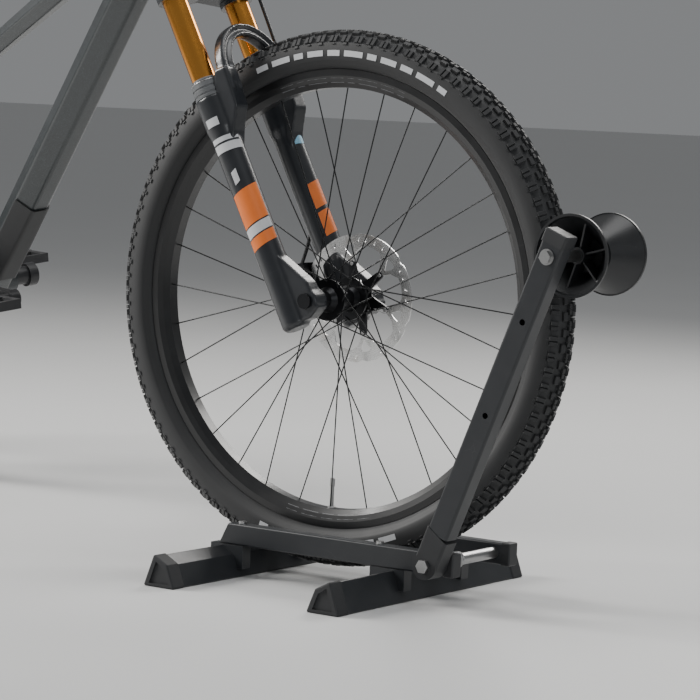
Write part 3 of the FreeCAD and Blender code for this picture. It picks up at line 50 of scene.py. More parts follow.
HUB = Vector((-0.1512, 0.0, 0.3933))
HEAD_ANGLE = math.radians(62.0)
STEER_AXIS = Vector((-math.cos(HEAD_ANGLE), 0.0, math.sin(HEAD_ANGLE)))
FORK_FORWARD = Vector((math.sin(HEAD_ANGLE), 0.0, math.cos(HEAD_ANGLE)))
LEG_SETBACK = 0.034
STEER_SETBACK = 0.008
LEG_FOOT = HUB - FORK_FORWARD * LEG_SETBACK
STEER_FOOT = LEG_FOOT - FORK_FORWARD * STEER_SETBACK
LEG_Y = 0.073
LEG_R = 0.0205
PARK_TURN = math.radians(-17.7)
BOTTOM_BRACKET = Vector((-1.026, 0.0, 0.335))
REAR_HUB = Vector((-1.461923, 0.0, 0.343189))
ALONG_Y = Vector((0.0, 1.0, 0.0))
PARKED = (
    Matrix.Translation(STEER_FOOT)
    @ Matrix.Rotation(PARK_TURN, 4, STEER_AXIS)
    @ Matrix.Translation(-STEER_FOOT)
)
REAR_AXIS = (PARKED.to_3x3() @ ALONG_Y).normalized()


def on_fork(s, ahead, y):
    """A point beside a fork leg: s up the leg from its foot, ahead of the leg axis, y to the left."""
    return LEG_FOOT + STEER_AXIS * s + FORK_FORWARD * ahead + ALONG_Y * y


def on_steerer(s, ahead, y):
    """The same, measured from the steering axis."""
    return on_fork(s, ahead - STEER_SETBACK, y)


def parked(point):
    """A point of the bicycle's rear half, turned as it stands."""
    return PARKED @ Vector(point)


# ---------------------------------------------------------------- node wiring


class Wiring:
    """Adds nodes to one node tree and joins them."""

    def __init__(self, tree):
        self.tree = tree

    def node(self, kind, settings=None, **inputs):
        """A node with its settings, and inputs that are values or other nodes' sockets."""
        made = self.tree.nodes.new(kind)
        for key, value in (settings or {}).items():
            setattr(made, key, value)
        for label, value in inputs.items():
            self.feed(made, label.replace("_", " "), value)
        return made

    def feed(self, node, label, value):
        """Puts a value or a socket into the input with that name or number."""
        socket = node.inputs[label]
        if isinstance(value, bpy.types.NodeSocket):
            self.tree.links.new(value, socket)
        else:
            socket.default_value = value

    def maths(self, operation, first, second=0.0, third=None, clamp=False):
        """A Math node's result."""
        made = self.node("ShaderNodeMath", {"operation": operation, "use_clamp": clamp})
        self.feed(made, 0, first)
        self.feed(made, 1, second)
        if third is not None:
            self.feed(made, 2, third)
        return made.outputs[0]

    def vector(self, operation, first, second=None, result="Vector"):
        """A Vector Math node's result."""
        made = self.node("ShaderNodeVectorMath", {"operation": operation})
        self.feed(made, 0, first)
        if second is not None:
            self.feed(made, 1, second)
        return made.outputs[result]

    def blend_colour(self, amount, first, second):
        """A colour between two others."""
        made = self.node("ShaderNodeMix", {"data_type": "RGBA"})
        self.feed(made, 0, amount)
        self.feed(made, 6, first)
        self.feed(made, 7, second)
        return made.outputs[2]

    def spread(self, value, low, high):
        """A 0 to 1 value spread from low to high."""
        made = self.node("ShaderNodeMapRange", {"clamp": True})
        self.feed(made, 0, value)
        self.feed(made, 3, low)
        self.feed(made, 4, high)
        return made.outputs[0]

    def window(self, value, start, end):
        """0 below start, 1 above end, smooth between."""
        made = self.node("ShaderNodeMapRange", {"interpolation_type": "SMOOTHSTEP"})
        self.feed(made, 0, value)
        self.feed(made, 1, start)
        self.feed(made, 2, end)
        return made.outputs[0]

    def place(self):
        """The piece's own coordinates, which are the model's at rest."""
        return self.node("ShaderNodeTexCoord").outputs["Object"]


def shader_group(name, inputs, outputs):
    """An empty shader group, its wiring, its input node and its output node."""
    tree = bpy.data.node_groups.new(name, "ShaderNodeTree")
    for label, kind, value in inputs:
        socket = tree.interface.new_socket(name=label, in_out="INPUT", socket_type="NodeSocket" + kind)
        socket.default_value = value
    for label, kind in outputs:
        tree.interface.new_socket(name=label, in_out="OUTPUT", socket_type="NodeSocket" + kind)
    wiring = Wiring(tree)
    return tree, wiring, wiring.node("NodeGroupInput").outputs, wiring.node("NodeGroupOutput")


def worn_edges_group():
    """A mask that is 1 along outer edges, broken up where hands and tools have not touched them."""
    tree, w, given, out = shader_group(
        "Worn Edges",
        [("Width", "Float", 0.0008), ("Breakup", "Float", 90.0)],
        [("Mask", "Float")],
    )
    rounded = w.node("ShaderNodeBevel", {"samples": 4}, Radius=given["Width"]).outputs[0]
    flat = w.node("ShaderNodeNewGeometry").outputs["Normal"]
    bend = w.maths("SUBTRACT", 1.0, w.vector("DOT_PRODUCT", rounded, flat, "Value"))
    patches = w.node(
        "ShaderNodeTexNoise", Vector=w.place(), Scale=given["Breakup"], Detail=4.0
    ).outputs[0]
    sharp = w.window(bend, 0.015, 0.12)
    w.feed(out, "Mask", w.maths("MULTIPLY", sharp, w.window(patches, 0.42, 0.62)))
    return tree


def settled_dust_group():
    """A mask of fine dust that lies on faces looking up, thicker in patches."""
    tree, w, given, out = shader_group(
        "Settled Dust",
        [("Amount", "Float", 0.3), ("Scale", "Float", 30.0)],
        [("Mask", "Float")],
    )
    facing = w.node("ShaderNodeSeparateXYZ", Vector=w.node("ShaderNodeNewGeometry").outputs["Normal"])
    upward = w.window(facing.outputs["Z"], 0.2, 1.0)
    cloud = w.node(
        "ShaderNodeTexNoise", Vector=w.place(), Scale=given["Scale"], Detail=6.0, Roughness=0.65
    ).outputs[0]
    specks = w.node("ShaderNodeTexNoise", Vector=w.place(), Scale=1400.0, Detail=2.0).outputs[0]
    lying = w.maths("MULTIPLY", upward, w.window(cloud, 0.35, 0.75))
    seen = w.maths("MULTIPLY", lying, w.window(specks, 0.4, 0.6))
    w.feed(out, "Mask", w.maths("MULTIPLY", seen, given["Amount"], clamp=True))
    return tree


def moulded_grain_group():
    """The fine pebble of a moulded or powder coated skin, with slow waves under it."""
    tree, w, given, out = shader_group(
        "Moulded Grain",
        [("Scale", "Float", 900.0), ("Waves", "Float", 40.0)],
        [("Height", "Float"), ("Tone", "Float")],
    )
    place = w.place()
    pebble = w.node("ShaderNodeTexVoronoi", {"feature": "SMOOTH_F1"}, Vector=place, Scale=given["Scale"])
    wave = w.node("ShaderNodeTexNoise", Vector=place, Scale=given["Waves"], Detail=3.0).outputs[0]
    fine = w.node("ShaderNodeTexNoise", Vector=place, Scale=given["Scale"], Detail=2.0).outputs[0]
    mixed = w.maths("ADD", w.maths("MULTIPLY", pebble.outputs[0], 0.6), w.maths("MULTIPLY", fine, 0.4))
    w.feed(out, "Height", w.maths("ADD", mixed, w.maths("MULTIPLY", wave, 0.5)))
    w.feed(out, "Tone", wave)
    return tree


def turned_rings_group():
    """Rings round an axis, as a lathe leaves them."""
    tree, w, given, out = shader_group(
        "Turned Rings",
        [
            ("Centre", "Vector", (0.0, 0.0, 0.0)),
            ("Axis", "Vector", (0.0, 1.0, 0.0)),
            ("Rings", "Float", 2500.0),
        ],
        [("Height", "Float"), ("Radius", "Float")],
    )
    offset = w.vector("SUBTRACT", w.place(), given["Centre"])
    across = w.vector("CROSS_PRODUCT", offset, given["Axis"])
    radius = w.vector("LENGTH", across, result="Value")
    depth = w.vector("DOT_PRODUCT", offset, given["Axis"], "Value")
    spot = w.node("ShaderNodeCombineXYZ", X=w.maths("MULTIPLY", radius, given["Rings"]))
    w.feed(spot, "Y", w.maths("MULTIPLY", depth, given["Rings"]))
    rings = w.node("ShaderNodeTexNoise", Vector=spot.outputs[0], Scale=1.0, Detail=3.0).outputs[0]
    w.feed(out, "Height", rings)
    w.feed(out, "Radius", radius)
    return tree


def hairline_scratches_group():
    """Thin scratches that run every way, as handling leaves on a hard skin."""
    tree, w, given, out = shader_group(
        "Hairline Scratches",
        [("Scale", "Float", 60.0), ("Amount", "Float", 0.4)],
        [("Mask", "Float")],
    )
    place = w.place()
    bent = w.node("ShaderNodeTexNoise", Vector=place, Scale=12.0, Detail=2.0).outputs["Color"]
    wandering = w.vector("ADD", place, w.vector("MULTIPLY", bent, (0.02, 0.02, 0.02)))
    cells = w.node(
        "ShaderNodeTexVoronoi", {"feature": "DISTANCE_TO_EDGE"}, Vector=wandering, Scale=given["Scale"]
    ).outputs[0]
    line = w.maths("SUBTRACT", 1.0, w.window(cells, 0.0, 0.012))
    patch = w.node("ShaderNodeTexNoise", Vector=place, Scale=25.0, Detail=3.0).outputs[0]
    faint = w.maths("MULTIPLY", line, w.window(patch, 0.52, 0.7))
    w.feed(out, "Mask", w.maths("MULTIPLY", faint, given["Amount"]))
    return tree


WORN_EDGES = worn_edges_group()
SETTLED_DUST = settled_dust_group()
MOULDED_GRAIN = moulded_grain_group()
TURNED_RINGS = turned_rings_group()
HAIRLINE_SCRATCHES = hairline_scratches_group()

# ---------------------------------------------------------------- finishes


def started(name):
    """A material with a plain Principled shader, and its wiring."""
    made = bpy.data.materials.new(name)
    made.use_nodes = True
    wiring = Wiring(made.node_tree)
    shader = made.node_tree.nodes["Principled BSDF"]
    return made, wiring, shader


def effect(w, group, **inputs):
    """A shared effect placed in a material."""
    node = w.node("ShaderNodeGroup", {"node_tree": group})
    for label, value in inputs.items():
        w.feed(node, label, value)
    return node.outputs


def coated(
    name, colour, shade, rough, grain=900.0, depth=0.1, worn=None, width=0.0006,
    dust=0.25, dust_colour=(0.12, 0.115, 0.105, 1.0), metallic=0.0, coat=0.0, scratches=0.0,
):
    """A painted, moulded or plated skin: two tones, grain, worn edges, scratches and dust."""
    made, w, shader = started(name)
    skin = effect(w, MOULDED_GRAIN, Scale=grain, Waves=35.0)
    tone = w.blend_colour(skin["Tone"], colour, shade)
    roughness = w.spread(skin["Tone"], rough[0], rough[1])
    if worn is not None:
        edge = effect(w, WORN_EDGES, Width=width, Breakup=120.0)["Mask"]
        tone = w.blend_colour(edge, tone, worn)
    if scratches > 0.0:
        line = effect(w, HAIRLINE_SCRATCHES, Scale=45.0, Amount=scratches)["Mask"]
        tone = w.blend_colour(line, tone, worn or shade)
        roughness = w.maths("ADD", roughness, w.maths("MULTIPLY", line, 0.3))
    if dust > 0.0:
        grey = effect(w, SETTLED_DUST, Amount=dust, Scale=28.0)["Mask"]
        tone = w.blend_colour(grey, tone, dust_colour)
        roughness = w.maths("ADD", roughness, w.maths("MULTIPLY", grey, 0.4))
    w.feed(shader, "Base Color", tone)
    w.feed(shader, "Roughness", roughness)
    shader.inputs["Metallic"].default_value = metallic
    shader.inputs["Coat Weight"].default_value = coat
    shader.inputs["Coat Roughness"].default_value = 0.12
    bump = w.node("ShaderNodeBump", Strength=depth, Distance=0.0004, Height=skin["Height"])
    w.feed(shader, "Normal", bump.outputs[0])
    return made


def stand_paint():
    return coated(
        "stand powder coat", (0.016, 0.018, 0.021, 1), (0.024, 0.026, 0.029, 1), (0.34, 0.46),
        grain=1100.0, depth=0.16, worn=(0.12, 0.12, 0.125, 1), width=0.0007, dust=0.3, scratches=0.25,
    )


def foot_rubber():
    return coated(
        "foot rubber", (0.014, 0.015, 0.017, 1), (0.024, 0.025, 0.027, 1), (0.6, 0.75),
        grain=700.0, depth=0.3, worn=(0.06, 0.06, 0.062, 1), dust=0.45,
    )


def cap_plastic():
    return coated(
        "moulded cap", (0.015, 0.016, 0.018, 1), (0.023, 0.024, 0.026, 1), (0.42, 0.55),
        grain=850.0, depth=0.22, worn=(0.07, 0.07, 0.072, 1), dust=0.3,
    )


def roller_plastic():
    return coated(
        "roller plastic", (0.011, 0.012, 0.013, 1), (0.019, 0.02, 0.022, 1), (0.3, 0.42),
        grain=1200.0, depth=0.1, worn=(0.055, 0.055, 0.058, 1), dust=0.22, scratches=0.3,
    )


def zinc_steel():
    return coated(
        "bright zinc", (0.5, 0.5, 0.49, 1), (0.36, 0.36, 0.37, 1), (0.26, 0.42),
        grain=600.0, depth=0.08, worn=(0.7, 0.7, 0.7, 1), dust=0.15, metallic=1.0,
    )


def tyre_rubber():
    """Tyre rubber: a matt black with a soft sheen, grey dust, and lighter grey along the knob edges that is
    partly wear and partly a painted highlight.
    """
    made, w, shader = started("tyre rubber")
    skin = effect(w, MOULDED_GRAIN, Scale=800.0, Waves=18.0)
    edge = effect(w, WORN_EDGES, Width=0.0009, Breakup=60.0)["Mask"]
    dust = effect(w, SETTLED_DUST, Amount=0.3, Scale=22.0)["Mask"]
    tone = w.blend_colour(skin["Tone"], (0.012, 0.0125, 0.0135, 1), (0.021, 0.022, 0.0235, 1))
    # knob edges lightened to grey: partly wear, partly a painted highlight on the knob tops
    tone = w.blend_colour(w.maths("MULTIPLY", edge, 0.5), tone, (0.06, 0.062, 0.064, 1))
    tone = w.blend_colour(dust, tone, (0.07, 0.066, 0.06, 1))
    w.feed(shader, "Base Color", tone)
    w.feed(shader, "Roughness", w.spread(skin["Tone"], 0.5, 0.66))
    shader.inputs["Sheen Weight"].default_value = 0.12
    shader.inputs["Sheen Roughness"].default_value = 0.45
    bump = w.node("ShaderNodeBump", Strength=0.22, Distance=0.0004, Height=skin["Height"])
    w.feed(shader, "Normal", bump.outputs[0])
    return made


def rim_black():
    return coated(
        "rim lacquer", (0.004, 0.0042, 0.005, 1), (0.008, 0.0085, 0.0095, 1), (0.28, 0.4),
        grain=1500.0, depth=0.03, worn=(0.05, 0.05, 0.055, 1), dust=0.08, coat=0.2, scratches=0.3,
    )


def spoke_black():
    return coated(
        "spoke black", (0.012, 0.0125, 0.0135, 1), (0.022, 0.023, 0.024, 1), (0.24, 0.36),
        grain=900.0, depth=0.05, dust=0.1, metallic=0.6,
    )


def hub_black():
    return coated(
        "hub anodised", (0.013, 0.0135, 0.015, 1), (0.026, 0.027, 0.03, 1), (0.24, 0.36),
        grain=1400.0, depth=0.05, worn=(0.2, 0.2, 0.21, 1), width=0.0004, dust=0.12, metallic=0.7,
    )


def rotor_steel(name, centre, axis):
    """Stainless brake disc: ground rings, and faint straw tints from heat in patches."""
    made, w, shader = started(name)
    lathe = effect(w, TURNED_RINGS, Centre=centre, Axis=axis, Rings=3600.0)
    skin = effect(w, MOULDED_GRAIN, Scale=300.0, Waves=28.0)
    tone = w.blend_colour(skin["Tone"], (0.86, 0.86, 0.85, 1), (0.72, 0.72, 0.725, 1))
    heat = w.maths("MULTIPLY", w.window(skin["Tone"], 0.52, 0.72), 0.35)
    tone = w.blend_colour(heat, tone, (0.5, 0.43, 0.34, 1))
    w.feed(shader, "Base Color", tone)
    w.feed(shader, "Roughness", w.spread(lathe["Height"], 0.2, 0.36))
    shader.inputs["Metallic"].default_value = 1.0
    bump = w.node("ShaderNodeBump", Strength=0.1, Distance=0.0002, Height=lathe["Height"])
    w.feed(shader, "Normal", bump.outputs[0])
    return made


def fork_paint():
    return coated(
        "fork paint", (0.012, 0.014, 0.017, 1), (0.018, 0.02, 0.024, 1), (0.3, 0.4),
        grain=1600.0, depth=0.05, worn=(0.09, 0.09, 0.095, 1), width=0.0005, dust=0.22, coat=0.25,
        scratches=0.2,
    )


def seal_rubber():
    return coated(
        "wiper seal", (0.09, 0.095, 0.1, 1), (0.13, 0.135, 0.14, 1), (0.45, 0.6),
        grain=900.0, depth=0.15, worn=(0.22, 0.22, 0.23, 1), dust=0.25,
    )


def stanchion_gold():
    """The fork's gold coated tubes: polished, with fine honing, and a painted shade of deeper orange where
    the tubes are seen at a grazing angle.
    """
    made, w, shader = started("stanchion gold")
    skin = effect(w, MOULDED_GRAIN, Scale=1800.0, Waves=25.0)
    line = effect(w, HAIRLINE_SCRATCHES, Scale=30.0, Amount=0.25)["Mask"]
    tone = w.blend_colour(skin["Tone"], (0.85, 0.4, 0.085, 1), (0.76, 0.31, 0.05, 1))
    # painted shade: the colour deepens towards the silhouettes, set by the view angle
    rim = w.node("ShaderNodeLayerWeight", Blend=0.35).outputs["Facing"]
    tone = w.blend_colour(w.maths("MULTIPLY", rim, 0.6), tone, (0.6, 0.17, 0.02, 1))
    w.feed(shader, "Base Color", tone)
    w.feed(shader, "Roughness", w.maths("ADD", w.spread(skin["Tone"], 0.16, 0.26), line))
    shader.inputs["Metallic"].default_value = 1.0
    bump = w.node("ShaderNodeBump", Strength=0.03, Distance=0.0002, Height=skin["Height"])
    w.feed(shader, "Normal", bump.outputs[0])
    return made


def hose_black():
    return coated(
        "hose sheath", (0.01, 0.0105, 0.0115, 1), (0.018, 0.0185, 0.02, 1), (0.3, 0.45),
        grain=1200.0, depth=0.08, dust=0.2,
    )


def cockpit_black():
    return coated(
        "cockpit anodised", (0.014, 0.0145, 0.016, 1), (0.022, 0.0225, 0.025, 1), (0.32, 0.44),
        grain=1500.0, depth=0.08, worn=(0.16, 0.16, 0.17, 1), width=0.0004, dust=0.2, scratches=0.2,
    )


def grip_rubber():
    return coated(
        "grip rubber", (0.013, 0.0135, 0.014, 1), (0.024, 0.0245, 0.026, 1), (0.66, 0.8),
        grain=500.0, depth=0.35, dust=0.2,
    )


def frame_paint():
    """Frame paint: a deep grey with a cool green cast, under a satin lacquer."""
    made, w, shader = started("frame lacquer")
    skin = effect(w, MOULDED_GRAIN, Scale=1500.0, Waves=14.0)
    flake = w.node("ShaderNodeTexVoronoi", Vector=w.place(), Scale=2600.0).outputs["Color"]
    spark = w.node("ShaderNodeSeparateXYZ", Vector=flake).outputs["X"]
    edge = effect(w, WORN_EDGES, Width=0.0006, Breakup=80.0)["Mask"]
    dust = effect(w, SETTLED_DUST, Amount=0.2, Scale=24.0)["Mask"]
    tone = w.blend_colour(skin["Tone"], (0.016, 0.02, 0.022, 1), (0.024, 0.029, 0.031, 1))
    tone = w.blend_colour(w.window(spark, 0.86, 1.0), tone, (0.08, 0.095, 0.1, 1))
    tone = w.blend_colour(w.maths("MULTIPLY", edge, 0.6), tone, (0.1, 0.11, 0.115, 1))
    tone = w.blend_colour(dust, tone, (0.3, 0.29, 0.27, 1))
    w.feed(shader, "Base Color", tone)
    w.feed(shader, "Roughness", w.spread(skin["Tone"], 0.34, 0.44))
    shader.inputs["Metallic"].default_value = 0.35
    shader.inputs["Coat Weight"].default_value = 0.5
    shader.inputs["Coat Roughness"].default_value = 0.22
    bump = w.node("ShaderNodeBump", Strength=0.03, Distance=0.0002, Height=skin["Height"])
    w.feed(shader, "Normal", bump.outputs[0])
    return made


def guard_plastic():
    return coated(
        "guard plastic", (0.016, 0.017, 0.018, 1), (0.024, 0.025, 0.027, 1), (0.5, 0.62),
        grain=600.0, depth=0.3, worn=(0.06, 0.06, 0.06, 1), dust=0.35, scratches=0.4,
    )


def saddle_cover():
    """Saddle skin: a soft synthetic leather with pores and creases."""
    made, w, shader = started("saddle cover")
    place = w.place()
    pores = w.node("ShaderNodeTexVoronoi", {"feature": "DISTANCE_TO_EDGE"}, Vector=place, Scale=650.0)
    skin = effect(w, MOULDED_GRAIN, Scale=260.0, Waves=30.0)
    dust = effect(w, SETTLED_DUST, Amount=0.2, Scale=26.0)["Mask"]
    tone = w.blend_colour(skin["Tone"], (0.014, 0.0145, 0.0155, 1), (0.024, 0.0245, 0.026, 1))
    tone = w.blend_colour(dust, tone, (0.2, 0.19, 0.18, 1))
    w.feed(shader, "Base Color", tone)
    w.feed(shader, "Roughness", w.spread(skin["Tone"], 0.46, 0.6))
    shader.inputs["Sheen Weight"].default_value = 0.08
    height = w.maths("ADD", w.window(pores.outputs[0], 0.0, 0.25), w.maths("MULTIPLY", skin["Height"], 0.5))
    bump = w.node("ShaderNodeBump", Strength=0.3, Distance=0.0004, Height=height)
    w.feed(shader, "Normal", bump.outputs[0])
    return made


def drive_steel():
    return coated(
        "drive steel", (0.12, 0.12, 0.125, 1), (0.2, 0.195, 0.19, 1), (0.28, 0.42),
        grain=700.0, depth=0.08, worn=(0.5, 0.5, 0.5, 1), width=0.0004, dust=0.1, metallic=1.0,
    )


def pedal_plastic():
    return coated(
        "pedal body", (0.016, 0.0165, 0.018, 1), (0.026, 0.0265, 0.029, 1), (0.5, 0.62),
        grain=700.0, depth=0.2, worn=(0.2, 0.2, 0.2, 1), width=0.0006, dust=0.25, scratches=0.5,
    )


def printed(name, colour, shade):
    """A thin printed mark, a little rubbed and dusty."""
    return coated(name, colour, shade, (0.36, 0.5), grain=1400.0, depth=0.05, dust=0.12, scratches=0.25)


MATERIALS = {
    "mark_pale": printed("pale print", (0.62, 0.63, 0.64, 1), (0.5, 0.51, 0.53, 1)),
    "mark_grey": printed("grey print", (0.2, 0.205, 0.215, 1), (0.14, 0.145, 0.155, 1)),
    "mark_orange": printed("orange print", (0.85, 0.2, 0.03, 1), (0.7, 0.15, 0.02, 1)),
    "mark_blue": printed("blue print", (0.25, 0.5, 0.66, 1), (0.18, 0.4, 0.55, 1)),
    "stand_paint": stand_paint(),
    "foot_rubber": foot_rubber(),
    "cap_plastic": cap_plastic(),
    "roller_plastic": roller_plastic(),
    "zinc_steel": zinc_steel(),
    "tyre_rubber": tyre_rubber(),
    "rim_black": rim_black(),
    "spoke_black": spoke_black(),
    "hub_black": hub_black(),
    "rotor_steel": rotor_steel("front disc steel", HUB, ALONG_Y),
    "rear_rotor_steel": rotor_steel("rear disc steel", parked(REAR_HUB), REAR_AXIS),
    "fork_paint": fork_paint(),
    "seal_rubber": seal_rubber(),
    "stanchion_gold": stanchion_gold(),
    "hose_black": hose_black(),
    "cockpit_black": cockpit_black(),
    "grip_rubber": grip_rubber(),
    "frame_paint": frame_paint(),
    "guard_plastic": guard_plastic(),
    "saddle_cover": saddle_cover(),
    "drive_steel": drive_steel(),
    "pedal_plastic": pedal_plastic(),
}

#: finish of every CAD node
NODE_FINISH = {
    "stand_paint": ["foot_bars", "side_beams", "beam_saddles", "arm_tube"],
    "foot_rubber": ["foot_caps"],
    "cap_plastic": ["beam_end_caps", "arm_sleeve", "arm_top_cap"],
    "roller_plastic": ["roller_cone_right", "roller_cone_left"],
    "zinc_steel": ["base_bolts", "pivot_shaft", "roller_axle", "torsion_spring"],
    "tyre_rubber": ["front_tyre", "rear_tyre"],
    "rim_black": ["front_rim", "rear_rim"],
    "spoke_black": ["front_spokes", "rear_spokes"],
    "hub_black": ["front_hub", "rear_hub", "front_axle", "front_caliper", "rear_caliper", "rear_derailleur"],
    "rotor_steel": ["front_rotor"],
    "rear_rotor_steel": ["rear_rotor"],
    "fork_paint": ["fork_lowers", "fork_crown"],
    "seal_rubber": ["fork_seals"],
    "stanchion_gold": ["stanchions"],
    "hose_black": ["front_hose_upper", "front_hose_lower", "rear_control_hoses"],
    "cockpit_black": [
        "headset", "stem", "handlebar", "control_clamps", "brake_blade_right", "brake_blade_left",
        "shift_paddle", "seat_clamp", "seatpost", "crank_arms",
    ],
    "grip_rubber": ["grips"],
    "frame_paint": [
        "head_tube", "down_tube", "top_tube", "seat_tube", "chain_stays", "seat_stays",
        "bottom_bracket_shell",
    ],
    "guard_plastic": ["down_tube_guard"],
    "saddle_cover": ["saddle"],
    "drive_steel": ["chain", "cassette", "chainring"],
    "pedal_plastic": ["pedal_right", "pedal_left"],
}


def dress_nodes():
    """Gives every CAD node its finish."""
    for finish, names in NODE_FINISH.items():
        for name in names:
            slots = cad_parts[name].data.materials
            slots.clear()
            slots.append(MATERIALS[finish])


# ---------------------------------------------------------------- mesh work

FULL_TURN = 2.0 * math.pi
UPWARD = Vector((0.0, 0.0, 1.0))


def square_to(axis):
    """Two directions square to an axis: the first nearest to upward, the second a quarter turn on."""
    start = UPWARD if abs(axis.z) < 0.95 else Vector((1.0, 0.0, 0.0))
    first = (start - axis * axis.dot(start)).normalized()
    return first, axis.cross(first)


def around(centre, axis, angle, radius, along=0.0):
    """A point at an angle and radius round an axis."""
    first, second = square_to(axis)
    return centre + (first * math.cos(angle) + second * math.sin(angle)) * radius + axis * along


class Stock:
    """Points and faces of one piece while it is made."""

    def __init__(self):
        self.points = []
        self.faces = []

    def add(self, points, faces):
        """Adds a ready set of points and faces."""
        base = len(self.points)
        self.points.extend(points)
        self.faces.extend(tuple(base + i for i in face) for face in faces)

    def skin(self, rings, closed=True, looped=False):
        """Faces between rings of points; closed joins a ring's ends, looped joins last ring to first."""
        size = len(rings[0])
        faces = []
        for i in range(len(rings) if looped else len(rings) - 1):
            over = (i + 1) % len(rings)
            for j in range(size if closed else size - 1):
                beside = (j + 1) % size
                faces.append((i * size + j, i * size + beside, over * size + beside, over * size + j))
        if closed and not looped:
            faces.append(tuple(reversed(range(size))))
            faces.append(tuple((len(rings) - 1) * size + j for j in range(size)))
        self.add([point for ring in rings for point in ring], faces)

    def lathe(self, profile, centre, axis, count=48):
        """Turns a closed outline of (along, radius) right round an axis."""
        rings = []
        for k in range(count):
            angle = FULL_TURN * k / count
            rings.append([around(centre, axis, angle, radius, along) for along, radius in profile])
        self.skin(rings, looped=True)

    def rod(self, start, end, radius, end_radius=None, sides=20):
        """A round bar, tapered if end_radius is given, with softened end edges."""
        run = end - start
        axis = run.normalized()
        far = radius if end_radius is None else end_radius
        soft = min(0.12 * radius, 0.0006)
        steps = ((0.0, radius - soft), (soft, radius), (run.length - soft, far), (run.length, far - soft))
        rings = []
        for along, size in steps:
            rings.append([around(start, axis, FULL_TURN * k / sides, size, along) for k in range(sides)])
        self.skin(rings)

    def prism(self, outline, low, high):
        """A slab: an outline of points moved by low and by high."""
        self.skin([[point + low for point in outline], [point + high for point in outline]])

    def plate(self, outlines, thickness, centre, axis):
        """A flat plate square to axis: the first outline of (ahead, up) is its edge, the rest are holes."""
        curve = bpy.data.curves.new("plate outline", "CURVE")
        curve.dimensions = "2D"
        curve.fill_mode = "BOTH"
        curve.extrude = thickness / 2.0
        for outline in outlines:
            spline = curve.splines.new("POLY")
            spline.points.add(len(outline) - 1)
            for point, (ahead, up) in zip(spline.points, outline):
                point.co = (ahead, up, 0.0, 1.0)
            spline.use_cyclic_u = True
        holder = bpy.data.objects.new("plate outline", curve)
        flat = bpy.data.meshes.new_from_object(holder)
        up_way, ahead_way = square_to(axis)
        points = [centre + ahead_way * v.co.x + up_way * v.co.y + axis * v.co.z for v in flat.vertices]
        self.add(points, [tuple(face.vertices) for face in flat.polygons])
        bpy.data.objects.remove(holder)
        bpy.data.curves.remove(curve)
        bpy.data.meshes.remove(flat)

    def piece(self, name, finish, body, crease=38.0, rounding=0.0):
        """The finished object, riding on its body."""
        mesh = bpy.data.meshes.new(name)
        mesh.from_pydata(self.points, [], self.faces)
        cleaned(mesh)
        mesh.materials.append(MATERIALS[finish])
        made = bpy.data.objects.new(name, mesh)
        bpy.context.scene.collection.objects.link(made)
        if rounding > 0.0:
            rounded = made.modifiers.new("rounded edges", "BEVEL")
            rounded.width = rounding
            rounded.segments = 2
            rounded.angle_limit = math.radians(35.0)
        mesh.shade_smooth()
        mesh.set_sharp_from_angle(angle=math.radians(crease))
        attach(made, body)
        return made


def cleaned(mesh):
    """Joins doubled points, drops empty faces and turns every face outward."""
    work = bmesh.new()
    work.from_mesh(mesh)
    bmesh.ops.remove_doubles(work, verts=work.verts, dist=1e-6)
    bmesh.ops.dissolve_degenerate(work, dist=1e-7, edges=work.edges)
    bmesh.ops.recalc_face_normals(work, faces=work.faces)
    work.to_mesh(mesh)
    work.free()


# ---------------------------------------------------------------- tyres

SECTION_R = 0.342          # radius of the ring that the round tread section follows
TREAD_TOP_R = 0.0298
TREAD_ROOT_R = 0.0248
KNOB_PITCHES = 108
#: tread rows: section angles from and to, share of a pitch, start within the pitch, sipe or not
CROWN_ROW = (2.2, 13.5, 0.66, 0.0, True)
INNER_ROW = (18.5, 32.0, 0.56, 0.5, False)
SHOULDER_ROW = (41.5, 66.0, 0.62, 0.05, True)
EDGE_ROW = (67.0, 74.0, 0.3, 0.28, False)
SIDE_WALL = [(0.0262, 0.3530), (0.0279, 0.3450), (0.0284, 0.3380), (0.0276, 0.3310), (0.0262, 0.3282),
             (0.0258, 0.3277), (0.0251, 0.3265), (0.0230, 0.3226), (0.0192, 0.3188), (0.0176, 0.3180),
             (0.0148, 0.3172), (0.0148, 0.3114), (0.0122, 0.3114), (0.0122, 0.3172), (0.0160, 0.3216),
             (0.0225, 0.3290), (0.0245, 0.3400)]
CROWN_DEPTH = 0.0254
INNER_CROWN = 0.0232


def tread_point(centre, axis, section_angle, wheel_angle, height):
    """A point over the tyre's round section."""
    radius = SECTION_R + height * math.cos(section_angle)
    return around(centre, axis, wheel_angle, radius, height * math.sin(section_angle))


def tread_knob(stock, centre, axis, section, wheel, top):
    """One rubber block with drafted sides and a softened top."""
    middle_section = sum(section) / 2.0
    middle_wheel = sum(wheel) / 2.0
    rings = []
    for height, shrink in ((TREAD_ROOT_R, 1.08), (top - 0.0007, 0.97), (top, 0.86)):
        ring = []
        for i, j in ((0, 0), (1, 0), (1, 1), (0, 1)):
            over = middle_section + (section[i] - middle_section) * shrink
            round_at = middle_wheel + (wheel[j] - middle_wheel) * shrink
            ring.append(tread_point(centre, axis, over, round_at, height))
        rings.append(ring)
    stock.skin(rings)


